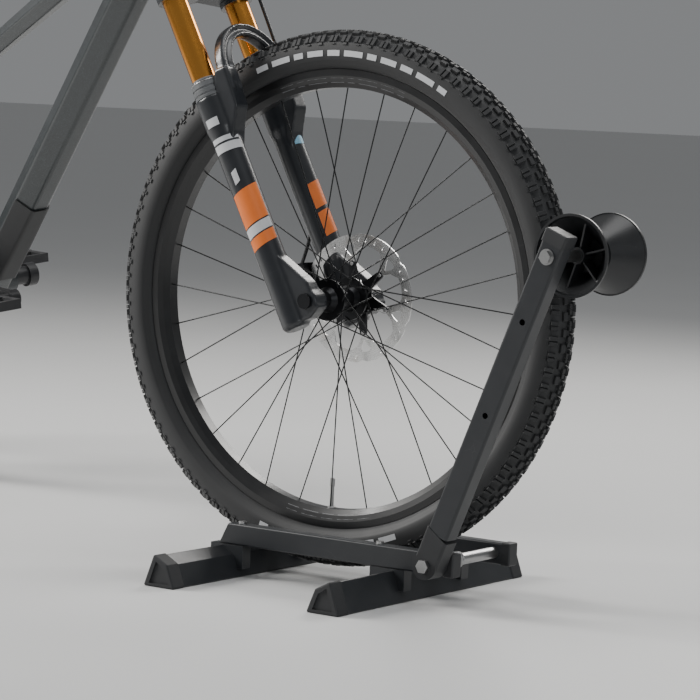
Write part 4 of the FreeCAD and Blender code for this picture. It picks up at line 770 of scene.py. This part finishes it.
def tread_row(stock, centre, axis, side, row):
    """All the knobs of one row on one side, long and short in turn."""
    start, end, share, phase, siped = row
    pitch = FULL_TURN / KNOB_PITCHES
    for k in range(KNOB_PITCHES):
        short = k % 2
        low = side * math.radians(start + (2.0 if short else 0.0))
        high = side * math.radians(end - (1.5 if short else 0.0))
        begin = (k + phase + 0.06 * short + (0.5 if side > 0 else 0.0)) * pitch
        finish = begin + pitch * share * (0.88 if short else 1.0)
        section = (min(low, high), max(low, high))
        if not siped:
            tread_knob(stock, centre, axis, section, (begin, finish), TREAD_TOP_R)
            continue
        cut = pitch * 0.035
        half = (begin + finish) / 2.0
        tread_knob(stock, centre, axis, section, (begin, half - cut), TREAD_TOP_R)
        tread_knob(stock, centre, axis, section, (half + cut, finish), TREAD_TOP_R - 0.0002)


def tyre(name, node, body, centre, axis):
    """A knobbed trail tyre: casing, two moulding lines a side and eight rows of blocks."""
    outer = []
    for step in range(-8, 9):
        angle = math.radians(step * 7.5)
        outer.append((CROWN_DEPTH * math.sin(angle), SECTION_R + CROWN_DEPTH * math.cos(angle)))
    inner = []
    for step in range(-8, 9):
        angle = math.radians(step * 9.0)
        inner.append((INNER_CROWN * math.sin(angle), SECTION_R + INNER_CROWN * math.cos(angle)))
    left = SIDE_WALL
    right = [(-along, radius) for along, radius in reversed(SIDE_WALL)]
    stock = Stock()
    stock.lathe(outer + left + list(reversed(inner)) + right, centre, axis, count=180)
    for side in (-1.0, 1.0):
        for row in (CROWN_ROW, INNER_ROW, SHOULDER_ROW, EDGE_ROW):
            tread_row(stock, centre, axis, side, row)
    made = stock.piece(name, "tyre_rubber", body, crease=30.0)
    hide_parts(node)
    return made


def ring_marks(name, body, centre, axis, finish, lower, upper, spans):
    """Printed bars on a wheel's side: each span is a start and an end angle, between two (along, radius)."""
    stock = Stock()
    for start, end, low_share, high_share in spans:
        steps = max(2, int((end - start) / 1.2) + 1)
        rings = []
        for k in range(steps + 1):
            angle = math.radians(start + (end - start) * k / steps)
            ring = []
            for share in (low_share, (low_share + high_share) / 2.0, high_share):
                along = lower[0] + (upper[0] - lower[0]) * share
                radius = lower[1] + (upper[1] - lower[1]) * share
                ring.append(around(centre, axis, angle, radius, along))
            rings.append(ring)
        stock.skin(rings, closed=False)
    return stock.piece(name, finish, body)


def bar_spans(start, end, lengths, gap, low_share=0.0, high_share=1.0):
    """Spans of plain bars of the lengths in turn, with a gap after each."""
    spans = []
    at = start
    k = 0
    while at + lengths[k % len(lengths)] <= end:
        length = lengths[k % len(lengths)]
        spans.append((at, at + length, low_share, high_share))
        at += length + gap
        k += 1
    return spans


# ---------------------------------------------------------------- brake discs

DISC_THICKNESS = 0.0018
DISC_SECTORS = 6
SPIDER_THICKNESS = 0.0034


def ring_of(radius_at, start, end, count):
    """Points (ahead, up) at angles from start to end, each at radius_at(angle)."""
    points = []
    for k in range(count):
        angle = start + (end - start) * k / (count - 1)
        radius = radius_at(angle)
        points.append((radius * math.sin(angle), radius * math.cos(angle)))
    return points


def disc_edge(outer):
    """The disc's outer edge, nicked where each arm meets it."""
    def radius(angle):
        part = (angle * DISC_SECTORS / FULL_TURN) % 1.0
        nick = math.exp(-((part - 0.86) / 0.055) ** 2)
        return outer - 0.0032 * nick
    return ring_of(radius, 0.0, FULL_TURN, 289)[:-1]


def disc_bore(outer):
    """The inner edge: the braking band's edge, dipping to a narrow foot at each arm."""
    band = outer - 0.0155
    foot = outer * 0.53
    points = []
    sector = FULL_TURN / DISC_SECTORS
    for k in range(DISC_SECTORS):
        base = k * sector
        for share, radius in (
            (0.02, band - 0.004), (0.06, band - 0.0008), (0.12, band),
            (0.2, band), (0.28, band), (0.36, band),
            (0.43, band - 0.0006), (0.49, band - 0.003), (0.555, band - 0.009), (0.62, band - 0.0175),
            (0.7, foot + 0.0035), (0.735, foot + 0.0006), (0.765, foot), (0.795, foot + 0.0006),
            (0.82, foot + 0.0035), (0.865, band - 0.018), (0.92, band - 0.0095),
        ):
            angle = base + share * sector
            points.append((radius * math.sin(angle), radius * math.cos(angle)))
    return points


def disc_holes(outer):
    """Slots in the braking band and a rounded three-cornered window in each arm."""
    holes = []
    sector = FULL_TURN / DISC_SECTORS
    middle = outer - 0.0078
    for k in range(DISC_SECTORS):
        base = k * sector
        for share in (0.12, 0.3, 0.48, 0.98):
            angle = base + share * sector
            centre = Vector((middle * math.sin(angle), middle * math.cos(angle)))
            out = Vector((math.sin(angle + 0.5), math.cos(angle + 0.5)))
            across = Vector((out.y, -out.x))
            slot = []
            for step in range(12):
                turn = FULL_TURN * step / 12.0
                stretch = 0.0017 if math.sin(turn) > 0.0 else -0.0017
                spot = centre + across * 0.00135 * math.cos(turn) + out * (0.00135 * math.sin(turn) + stretch)
                slot.append((spot.x, spot.y))
            holes.append(slot)
        window = []
        for share, radius in (
            (0.66, outer - 0.0165), (0.72, outer - 0.0140), (0.80, outer - 0.0135), (0.86, outer - 0.0150),
            (0.87, outer - 0.0175), (0.845, outer - 0.0235), (0.80, outer - 0.0290), (0.775, outer - 0.0305),
            (0.75, outer - 0.0290), (0.70, outer - 0.0235), (0.665, outer - 0.0190),
        ):
            angle = base + share * sector
            window.append((radius * math.sin(angle), radius * math.cos(angle)))
        holes.append(window)
    return holes


def spider_edge(outer):
    """The black carrier's edge: a hub ring with an arm to each disc foot."""
    tip = outer * 0.53 + 0.0055
    points = []
    sector = FULL_TURN / DISC_SECTORS
    for k in range(DISC_SECTORS):
        base = k * sector
        for share, radius in (
            (0.02, 0.0245), (0.14, 0.0240), (0.26, 0.0245), (0.38, 0.0265), (0.50, 0.0320), (0.58, 0.0390),
            (0.655, tip - 0.0042), (0.69, tip - 0.0012), (0.73, tip), (0.80, tip), (0.84, tip - 0.0012),
            (0.865, tip - 0.0042), (0.885, 0.0400), (0.91, 0.0330), (0.955, 0.0265),
        ):
            angle = base + share * sector
            points.append((radius * math.sin(angle), radius * math.cos(angle)))
    return points


def circle(radius, centre=(0.0, 0.0), count=28):
    """Points (ahead, up) round a circle."""
    return [
        (
            centre[0] + radius * math.sin(FULL_TURN * k / count),
            centre[1] + radius * math.cos(FULL_TURN * k / count),
        )
        for k in range(count)
    ]


def brake_disc(name, node, body, finish, centre, axis, offset, outer):
    """A two-piece disc: scalloped steel band with arms, black carrier, rivets and six bolts."""
    plane = centre + axis * offset
    steel = Stock()
    steel.plate([disc_edge(outer), disc_bore(outer)] + disc_holes(outer), DISC_THICKNESS, plane, axis)
    disc = steel.piece(name, finish, body, crease=30.0)
    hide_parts(node)
    spider = Stock()
    bolts = [circle(0.0026, (0.022 * math.sin(a), 0.022 * math.cos(a)), 16)
             for a in (FULL_TURN * k / 6.0 for k in range(6))]
    spider.plate([spider_edge(outer), circle(0.0172)] + bolts, SPIDER_THICKNESS, plane, axis)
    spider.piece(name + "_carrier", "hub_black", body, crease=30.0, rounding=0.0004)
    rivets = Stock()
    for k in range(DISC_SECTORS):
        angle = FULL_TURN * (k + 0.765) / DISC_SECTORS
        button = around(plane, axis, angle, outer * 0.53 + 0.0012)
        rivets.lathe([(-0.0026, 0.0), (-0.0026, 0.0024), (-0.0021, 0.0029),
                      (0.0021, 0.0029), (0.0026, 0.0024),
                      (0.0026, 0.0)], button, axis, 18)
    for k in range(6):
        head = around(plane, axis, FULL_TURN * k / 6.0, 0.022)
        rivets.lathe([(0.0, 0.0), (0.0, 0.0037), (0.0031, 0.0037), (0.0037, 0.0031), (0.0037, 0.0015),
                      (0.0024, 0.0013), (0.0024, 0.0)], head, axis, 6)
    rivets.piece(name + "_bolts", "zinc_steel", body)
    return disc


# ---------------------------------------------------------------- hoses


def hose(name, points, radius):
    """A round hose along one smooth line through the space of its points."""
    curve = bpy.data.curves.new(name, "CURVE")
    curve.dimensions = "3D"
    curve.bevel_depth = radius
    curve.bevel_resolution = 5
    curve.use_fill_caps = True
    spline = curve.splines.new("NURBS")
    spline.points.add(len(points) - 1)
    for place, point in zip(spline.points, points):
        place.co = (point.x, point.y, point.z, 1.0)
    spline.order_u = 3
    spline.use_endpoint_u = True
    spline.resolution_u = 10
    curve.materials.append(MATERIALS["hose_black"])
    made = bpy.data.objects.new(name, curve)
    bpy.context.scene.collection.objects.link(made)
    return made


BAR_CENTRE = on_steerer(0.729, 0.048, 0.0)
BAR_TOP = Vector((-0.006, -0.110, 0.022))
BAR_TIP = Vector((-0.042, -0.380, 0.036))
BRAKE_AT = 0.150
SHIFTER_AT = 0.180


def bar_station(distance, left):
    """A point on the bar's grip part and the way inboard from there."""
    flip = -1.0 if left else 1.0
    tip = BAR_CENTRE + Vector((BAR_TIP.x, BAR_TIP.y * flip, BAR_TIP.z))
    top = BAR_CENTRE + Vector((BAR_TOP.x, BAR_TOP.y * flip, BAR_TOP.z))
    inboard = (top - tip).normalized()
    return tip + inboard * distance, inboard


def hoses():
    """The front brake hose in its two held lengths, and the two lines from the right-hand controls."""
    start = bar_station(BRAKE_AT, True)[0] + Vector((0.020, -0.034, -0.004))
    upper_points = [
        start, start + Vector((0.007, -0.044, -0.003)), start + Vector((0.008, -0.086, -0.020)),
        start + Vector((0.0, -0.112, -0.066)), on_fork(0.598, 0.034, 0.096), on_fork(0.546, 0.026, 0.104),
        on_fork(0.492, 0.020, 0.106), on_fork(0.440, 0.020, 0.104), on_fork(0.392, 0.020, 0.101),
        on_fork(0.351, 0.017, 0.100),
    ]
    line = hose("front_hose_line", upper_points, 0.0026)
    upper_mesh = bpy.data.meshes.new_from_object(line)
    bpy.data.objects.remove(line)
    upper_mesh.name = "front_brake_hose"
    upper = bpy.data.objects.new("front_brake_hose", upper_mesh)
    bpy.context.scene.collection.objects.link(upper)
    upper_mesh.shade_smooth()
    upper_mesh.set_sharp_from_angle(angle=math.radians(40.0))
    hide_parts("front_hose_upper")
    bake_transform(upper)

    lower = hose("front_brake_hose_leg", [
        on_fork(0.350, 0.017, 0.100), on_fork(0.302, 0.012, 0.0995), on_fork(0.252, 0.004, 0.099),
        on_fork(0.200, -0.004, 0.0985), on_fork(0.152, -0.017, 0.0925), on_fork(0.112, -0.031, 0.076),
        on_fork(0.084, -0.040, 0.052),
    ], 0.0026)
    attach(lower, "fork_lower")
    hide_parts("front_hose_lower")

    brake = bar_station(BRAKE_AT, False)[0] + Vector((0.020, 0.034, -0.004))
    cover = 0.679
    rear = hose("rear_brake_hose", [
        brake, brake + Vector((0.006, 0.046, -0.003)), brake + Vector((0.008, 0.092, -0.020)),
        brake + Vector((0.010, 0.127, -0.046)), on_steerer(cover + 0.014, 0.0435, -0.034),
        on_steerer(cover, 0.021, -0.012),
    ], 0.0026)
    shift = bar_station(SHIFTER_AT, False)[0] + Vector((0.009, 0.022, -0.025))
    cable = hose("shift_cable", [
        shift, shift + Vector((0.003, 0.036, -0.006)), shift + Vector((0.005, 0.072, -0.020)),
        shift + Vector((0.012, 0.112, -0.039)), on_steerer(cover + 0.004, 0.037, -0.030),
        on_steerer(cover, 0.022, -0.002),
    ], 0.0023)
    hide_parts("rear_control_hoses")
    for line in (rear, cable):
        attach(line, "fork_upper")


# ---------------------------------------------------------------- fork casting

SEAL_FOOT_S = 0.322
BORE_R = 0.0179
CASTING_GRAIN = 0.0016     # size of the cells that the casting's parts are joined with
CASTING_ROUNDS = 9
ARCH_SHOULDER_S = 0.346
ARCH_HALF = 0.0675
ARCH_RISE = 0.0655
ARCH_AHEAD = 0.036
ARCH_STEPS = 28
#: section of the arch: ahead of its middle, and share of its half thickness; the front is hollowed
ARCH_SECTION = [
    (-0.010, -0.6), (-0.0095, 0.6), (-0.006, 0.95), (0.006, 1.0), (0.0108, 0.78), (0.0102, 0.5),
    (0.0062, 0.25), (0.0062, -0.25), (0.0102, -0.5), (0.0108, -0.78), (0.006, -1.0), (-0.006, -0.95),
]
#: side view of the rib that carries the arch, and of the foot, as (s, ahead)
RIB_OUTLINE = [(0.232, 0.008), (0.262, 0.022), (0.292, 0.043), (0.350, 0.046), (0.352, 0.028), (0.318, 0.010)]
FOOT_OUTLINE = [
    (-0.020, 0.0), (0.078, 0.008), (0.074, 0.019), (0.024, 0.047), (-0.016, 0.050), (-0.024, 0.030),
]


def arch_rings():
    """Sections of the arch from one leg's rib, over the wheel, to the other's."""
    rings = []
    for step in range(-2, ARCH_STEPS + 3):
        angle = math.pi * min(max(step / ARCH_STEPS, 0.0), 1.0)
        drop = 0.030 * (max(-step, step - ARCH_STEPS, 0) / 2.0)
        lean = math.sin(angle)
        half = 0.0125 - 0.003 * lean
        normal_y, normal_s = math.cos(angle), math.sin(angle)
        ring = []
        for ahead, share in ARCH_SECTION:
            y = ARCH_HALF * math.cos(angle) + normal_y * half * share
            s = ARCH_SHOULDER_S + ARCH_RISE * math.sin(angle) + normal_s * half * share - drop
            ring.append(on_fork(s, ARCH_AHEAD + ahead, y))
        rings.append(ring)
    return rings


def side_prism(stock, outline, near, far):
    """A slab from an outline of (s, ahead), between two distances out to the side."""
    for side in (-1.0, 1.0):
        points = [on_fork(s, ahead, 0.0) for s, ahead in outline]
        stock.prism(points, ALONG_Y * side * near, ALONG_Y * side * far)


def joined_mesh(name, stock, grain, rounds, cutter):
    """The parts of stock joined into one smooth shell, with the cutter's parts bored out."""
    made = []
    for title, parts in ((name, stock), (name + " cutter", cutter)):
        mesh = bpy.data.meshes.new(title)
        mesh.from_pydata(parts.points, [], parts.faces)
        cleaned(mesh)
        holder = bpy.data.objects.new(title, mesh)
        bpy.context.scene.collection.objects.link(holder)
        made.append(holder)
    body, tool = made
    joined = body.modifiers.new("joined", "REMESH")
    joined.mode = "VOXEL"
    joined.voxel_size = grain
    softened = body.modifiers.new("softened", "SMOOTH")
    softened.factor = 0.5
    softened.iterations = rounds
    bored = body.modifiers.new("bored", "BOOLEAN")
    bored.operation = "DIFFERENCE"
    bored.solver = "EXACT"
    bored.object = tool
    ready = body.evaluated_get(bpy.context.evaluated_depsgraph_get())
    result = bpy.data.meshes.new_from_object(ready)
    for holder in made:
        spare = holder.data
        bpy.data.objects.remove(holder)
        bpy.data.meshes.remove(spare)
    return result


def fork_casting():
    """Both legs, feet and the hollowed arch as one casting."""
    stock = Stock()
    bores = Stock()
    for side in (-1.0, 1.0):
        y = side * LEG_Y
        stock.rod(on_fork(-0.027, 0.0, y), on_fork(-0.021, 0.0, y), 0.0165, LEG_R, sides=48)
        stock.rod(on_fork(-0.0215, 0.0, y), on_fork(0.268, 0.0, y), LEG_R, sides=48)
        stock.rod(on_fork(0.262, 0.0, y), on_fork(0.276, 0.0, y), LEG_R, 0.023, sides=48)
        stock.rod(on_fork(0.2755, 0.0, y), on_fork(SEAL_FOOT_S, 0.0, y), 0.023, sides=48)
        stock.rod(HUB + ALONG_Y * side * 0.055, HUB + ALONG_Y * side * 0.084, 0.017, sides=40)
        bores.rod(on_fork(0.030, 0.0, y), on_fork(0.335, 0.0, y), BORE_R, sides=48)
    side_prism(stock, FOOT_OUTLINE, 0.060, 0.084)
    side_prism(stock, RIB_OUTLINE, 0.056, 0.084)
    stock.skin(arch_rings())
    mesh = joined_mesh("fork casting", stock, CASTING_GRAIN, CASTING_ROUNDS, bores)
    mesh.materials.clear()
    mesh.materials.append(MATERIALS["fork_paint"])
    mesh.shade_smooth()
    mesh.set_sharp_from_angle(angle=math.radians(50.0))
    casting = bpy.data.objects.new("fork_casting", mesh)
    bpy.context.scene.collection.objects.link(casting)
    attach(casting, "fork_lower")
    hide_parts("fork_lowers")


def wiper_seals():
    """Dust seals over the legs: a grooved skirt with a spring round its lip."""
    skirt = [
        (0.0, 0.0221), (0.0035, 0.0221), (0.0042, 0.0212), (0.0060, 0.0212), (0.0068, 0.0221),
        (0.0120, 0.0221), (0.0128, 0.0209), (0.0150, 0.0207), (0.0158, 0.0217), (0.0215, 0.0213),
        (0.0226, 0.0200), (0.0240, 0.0196), (0.0250, 0.0203), (0.0272, 0.0199), (0.0280, 0.0186),
        (0.0280, 0.0177), (0.0, 0.0177),
    ]
    spring = []
    for step in range(10):
        turn = FULL_TURN * step / 10
        spring.append((0.0233 + 0.0009 * math.cos(turn), 0.0202 + 0.0009 * math.sin(turn)))
    seals = Stock()
    springs = Stock()
    for side in (-1.0, 1.0):
        foot = on_fork(SEAL_FOOT_S, 0.0, side * LEG_Y)
        seals.lathe(skirt, foot, STEER_AXIS, count=64)
        springs.lathe(spring, foot, STEER_AXIS, count=64)
    skirts = seals.piece("wiper_seals", "seal_rubber", "fork_lower", crease=32.0)
    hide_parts("fork_seals")
    springs.piece("wiper_springs", "zinc_steel", "fork_lower")


# ---------------------------------------------------------------- plain marks on the fork

MARK_LIFT = 0.0003
COLLAR_R = 0.023
PATCH_FROM = -125.0
PATCH_TO = 0.0
FRONT_FROM = -50.0
FRONT_TO = 15.0


def leg_patch(stock, y, low, high, start, end, slant, radius):
    """A thin printed patch round a fork leg: s from low to high, angles from start to end."""
    foot = on_fork(0.0, 0.0, y)
    rings = []
    steps = max(3, int(abs(end - start) / 6.0))
    for k in range(steps + 1):
        share = k / steps
        angle = math.radians(start + (end - start) * share)
        shift = slant * share
        ring = []
        for s, lift in ((low, MARK_LIFT), (high, MARK_LIFT), (high, -MARK_LIFT), (low, -MARK_LIFT)):
            ring.append(around(foot, STEER_AXIS, angle, radius + lift, s + shift))
        rings.append(ring)
    stock.skin(rings)


def fork_marks():
    """Plain patches and stripes, without any lettering."""
    sets = (
        ("fork_marks_pale", "mark_pale", (
            (-LEG_Y, 0.278, 0.290, -110.0, -60.0, 0.0, COLLAR_R),
            (-LEG_Y, 0.254, 0.261, PATCH_FROM, PATCH_TO, 0.0, LEG_R),
            (-LEG_Y, 0.239, 0.251, PATCH_FROM, PATCH_TO, 0.0, LEG_R),
            (-LEG_Y, 0.189, 0.208, -88.0, -64.0, 0.004, LEG_R),
            (-LEG_Y, 0.110, 0.124, PATCH_FROM, PATCH_TO, 0.010, LEG_R),
        )),
        ("fork_marks_orange", "mark_orange", (
            (-LEG_Y, 0.092, 0.108, PATCH_FROM, PATCH_TO, 0.010, LEG_R),
            (-LEG_Y, 0.126, 0.176, PATCH_FROM, PATCH_TO, 0.010, LEG_R),
            (LEG_Y, 0.104, 0.140, FRONT_FROM, FRONT_TO, 0.006, LEG_R),
            (LEG_Y, 0.146, 0.184, FRONT_FROM, FRONT_TO, 0.006, LEG_R),
        )),
        ("fork_marks_blue", "mark_blue", ((LEG_Y, 0.246, 0.260, FRONT_FROM, FRONT_TO, 0.0, LEG_R),)),
    )
    for name, finish, patches in sets:
        stock = Stock()
        for patch in patches:
            leg_patch(stock, *patch)
        stock.piece(name, finish, "fork_lower")


# ---------------------------------------------------------------- saddle and grips

SEAT_ANGLE = math.radians(73.7)
SEAT_RUN = Vector((-math.cos(SEAT_ANGLE), 0.0, math.sin(SEAT_ANGLE)))
POST_LENGTH = 0.648        # from the bottom bracket up the seat tube
SADDLE_SHIFT = Vector((-0.010, 0.0, 0.030))
SADDLE_BASE = BOTTOM_BRACKET + SEAT_RUN * POST_LENGTH + SADDLE_SHIFT
#: half widths of the saddle along its length, as (ahead, half width)
SADDLE_PLAN = [
    (-0.128, 0.034), (-0.104, 0.065), (-0.070, 0.0695), (-0.020, 0.0415),
    (0.040, 0.0235), (0.120, 0.0185), (0.142, 0.006),
]
SADDLE_HEIGHT = 0.038
SADDLE_LENGTH = 0.270
SADDLE_TAIL = -0.128
SADDLE_STEPS = 40
SADDLE_SIDES = 36


def between(table, at):
    """The value of a table of (place, value) at a place, eased between its rows."""
    for (low, first), (high, second) in zip(table, table[1:]):
        if at <= high:
            share = (at - low) / (high - low)
            return first + (second - first) * share * share * (3.0 - 2.0 * share)
    return table[-1][1]


def padded_saddle():
    """The padded seat: full at the tail, narrow at the nose, with a shallow channel along the middle."""
    stock = Stock()
    rings = []
    for step in range(SADDLE_STEPS + 1):
        x = SADDLE_TAIL + SADDLE_LENGTH * step / SADDLE_STEPS
        half = between(SADDLE_PLAN, x)
        dip = 0.005 * math.exp(-((x - 0.01) / 0.05) ** 2)
        tail = max(0.0, (-x - 0.095) / 0.033)
        nose = max(0.0, (x - 0.120) / 0.022)
        low = 0.004 + 0.014 * tail + 0.006 * nose
        high = SADDLE_HEIGHT - dip - 0.006 * tail * tail - 0.010 * nose * nose
        ring = []
        for k in range(SADDLE_SIDES):
            turn = FULL_TURN * k / SADDLE_SIDES
            across = math.copysign(abs(math.cos(turn)) ** 0.7, math.cos(turn)) * half
            rise = math.copysign(abs(math.sin(turn)) ** 0.65, math.sin(turn))
            z = (low + high) / 2.0 + rise * (high - low) / 2.0
            if rise > 0.0:
                z -= 0.0028 * math.exp(-(across / 0.007) ** 2) * math.exp(-((x + 0.01) / 0.06) ** 4)
            ring.append(parked(SADDLE_BASE + Vector((x, across, z))))
        rings.append(ring)
    stock.skin(rings)
    seat = stock.piece("saddle_padding", "saddle_cover", "frame", crease=60.0)
    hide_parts("saddle")


GRIP_RIBS = 28
GRIP_RIB_START = 0.008
GRIP_RIB_PITCH = 0.004
GRIP_GROOVE_R = 0.0149
GRIP_RIB_R = 0.0158
GRIP_COLLAR = [
    (0.1225, 0.0149), (0.1232, 0.0171), (0.1318, 0.0171),
    (0.1318, 0.0112), (-0.001, 0.0112), (-0.001, 0.0004),
]


def ribbed_grips():
    """Rubber grips with fine ribs, a closed end and a locking collar."""
    outline = [(-0.005, 0.0004), (-0.005, 0.0142), (-0.003, 0.0161), (0.006, 0.0161)]
    for rib in range(GRIP_RIBS):
        start = GRIP_RIB_START + rib * GRIP_RIB_PITCH
        outline.extend([
            (start, GRIP_GROOVE_R), (start + 0.0006, GRIP_RIB_R),
            (start + 0.0024, GRIP_RIB_R), (start + 0.003, GRIP_GROOVE_R),
        ])
    outline.extend(GRIP_COLLAR)
    stock = Stock()
    for left in (False, True):
        place, inboard = bar_station(0.0, left)[:2]
        stock.lathe(outline, place, inboard, count=40)
    grips = stock.piece("ribbed_grips", "grip_rubber", "fork_upper", crease=30.0)
    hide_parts("grips")


# ---------------------------------------------------------------- wheel marks and valves


def wheel_marks():
    """Plain pale bars on the tyre's side, and grey ones on the rim."""
    tyre_bars = bar_spans(-24.0, 33.0, (3.4, 5.2, 2.6, 4.4), 1.3)
    tyre_bars += bar_spans(158.0, 200.0, (4.8, 2.6, 3.8), 1.4)
    rim_bars = bar_spans(-20.0, 20.0, (4.2, 2.2, 6.0), 1.2) + bar_spans(166.0, 194.0, (3.6, 5.0), 1.4)
    for side, letter in ((-1.0, "right"), (1.0, "left")):
        low, high = (side * 0.0288, 0.3345), (side * 0.0286, 0.3425)
        ring_marks("tyre_marks_" + letter, "front_wheel", HUB, ALONG_Y, "mark_pale", low, high, tyre_bars)
        low, high = (side * 0.0141, 0.2985), (side * 0.0166, 0.3050)
        ring_marks("rim_marks_" + letter, "front_wheel", HUB, ALONG_Y, "mark_grey", low, high, rim_bars)


#: distances from the axle: ring nut outer and inner face, cap outer and inner end
VALVE_STATIONS = (0.2935, 0.2895, 0.262, 0.250)
VALVE_NUT_R = 0.0062
VALVE_STEM_R = 0.0029
VALVE_CAP_R = 0.0036


def valves():
    """A tyre valve in each rim, with its ring nut and cap."""
    for name, body, centre, axis in (
        ("front_valve", "front_wheel", HUB, ALONG_Y),
        ("rear_valve", "rear_wheel", parked(REAR_HUB), REAR_AXIS),
    ):
        stock = Stock()
        ends = [around(centre, axis, math.pi, radius) for radius in VALVE_STATIONS]
        stock.rod(ends[0], ends[1], VALVE_NUT_R, sides=12)
        stock.rod(ends[1], ends[2], VALVE_STEM_R)
        stock.rod(ends[2], ends[3], VALVE_CAP_R)
        stock.piece(name, "zinc_steel", body)


# ---------------------------------------------------------------- camera, floor and lights

CAMERA_PLACE = Vector((2.12073, -3.30183, 0.67762))
CAMERA_YAW = math.radians(34.2966)
CAMERA_PITCH = math.radians(-5.0547)
CAMERA_ROLL = math.radians(2.4190)
CAMERA_LENS = 149.14
FLOOR_HALF = 60.0


def set_camera():
    """The camera looks along its yaw and pitch, rolled a little clockwise."""
    data = bpy.data.cameras.new("camera")
    data.lens = CAMERA_LENS
    data.sensor_width = 36.0
    data.clip_end = 200.0
    camera = bpy.data.objects.new("camera", data)
    bpy.context.scene.collection.objects.link(camera)
    flat = math.cos(CAMERA_PITCH)
    forward = Vector(
        (-math.sin(CAMERA_YAW) * flat, math.cos(CAMERA_YAW) * flat, math.sin(CAMERA_PITCH))
    )
    right = Vector((math.cos(CAMERA_YAW), math.sin(CAMERA_YAW), 0.0))
    up = right.cross(forward)
    right_rolled = right * math.cos(CAMERA_ROLL) + up * math.sin(CAMERA_ROLL)
    up_rolled = up * math.cos(CAMERA_ROLL) - right * math.sin(CAMERA_ROLL)
    turn = Matrix((right_rolled, up_rolled, -forward)).transposed()
    camera.matrix_world = Matrix.Translation(CAMERA_PLACE) @ turn.to_4x4()
    bpy.context.scene.camera = camera


def floor_material():
    """Smooth pale studio floor with very faint clouding."""
    made, w, shader = started("studio floor")
    cloud = w.node("ShaderNodeTexNoise", Vector=w.place(), Scale=1.3, Detail=4.0).outputs[0]
    w.feed(shader, "Base Color", w.blend_colour(cloud, (0.6, 0.6, 0.595, 1), (0.64, 0.64, 0.635, 1)))
    w.feed(shader, "Roughness", w.spread(cloud, 0.5, 0.6))
    return made


def set_floor():
    """A wide, flat floor: one large sheet."""
    corners = [
        (-FLOOR_HALF, -FLOOR_HALF, 0), (FLOOR_HALF, -FLOOR_HALF, 0),
        (FLOOR_HALF, FLOOR_HALF, 0), (-FLOOR_HALF, FLOOR_HALF, 0),
    ]
    mesh = bpy.data.meshes.new("floor")
    mesh.from_pydata(corners, [], [(0, 1, 2, 3)])
    mesh.materials.append(floor_material())
    floor = bpy.data.objects.new("floor", mesh)
    bpy.context.scene.collection.objects.link(floor)


def area_light(name, place, target, size, power, colour=(1.0, 1.0, 1.0)):
    """A square soft light at place, facing target."""
    data = bpy.data.lights.new(name, "AREA")
    data.shape = "RECTANGLE"
    data.size = size[0]
    data.size_y = size[1]
    data.energy = power
    data.color = colour
    light = bpy.data.objects.new(name, data)
    bpy.context.scene.collection.objects.link(light)
    light.location = place
    light.rotation_euler = (Vector(target) - Vector(place)).to_track_quat("-Z", "Y").to_euler()


def set_lights():
    """Soft studio light: a large key from the left, a weaker fill, a back light and an even sky."""
    target = (-0.3, 0.0, 0.4)
    area_light("key", (-3.4, -1.5, 2.3), target, (1.6, 1.6), 190.0, (1.0, 0.985, 0.96))
    area_light("fill", (3.2, -1.6, 1.5), target, (1.6, 1.6), 26.0, (0.95, 0.98, 1.0))
    area_light("back", (-0.4, 3.4, 2.6), target, (2.4, 1.2), 90.0, (1.0, 0.98, 0.95))
    area_light("top", (0.2, 0.0, 3.6), target, (2.2, 2.2), 60.0)
    world = bpy.data.worlds.new("studio")
    world.use_nodes = True
    sky = world.node_tree.nodes["Background"]
    sky.inputs["Color"].default_value = (0.8, 0.82, 0.84, 1)
    sky.inputs["Strength"].default_value = 0.28
    bpy.context.scene.world = world


set_camera()
set_floor()
set_lights()
dress_nodes()
tyre("front_tyre_tread", "front_tyre", "front_wheel", HUB, ALONG_Y)
tyre("rear_tyre_tread", "rear_tyre", "rear_wheel", parked(REAR_HUB), REAR_AXIS)
brake_disc("front_disc", "front_rotor", "front_wheel", "rotor_steel", HUB, ALONG_Y, 0.0435, 0.090)
brake_disc(
    "rear_disc", "rear_rotor", "rear_wheel", "rear_rotor_steel",
    parked(REAR_HUB), REAR_AXIS, 0.0585, 0.080,
)
hoses()
fork_casting()
wiper_seals()
fork_marks()
padded_saddle()
ribbed_grips()
wheel_marks()
valves()
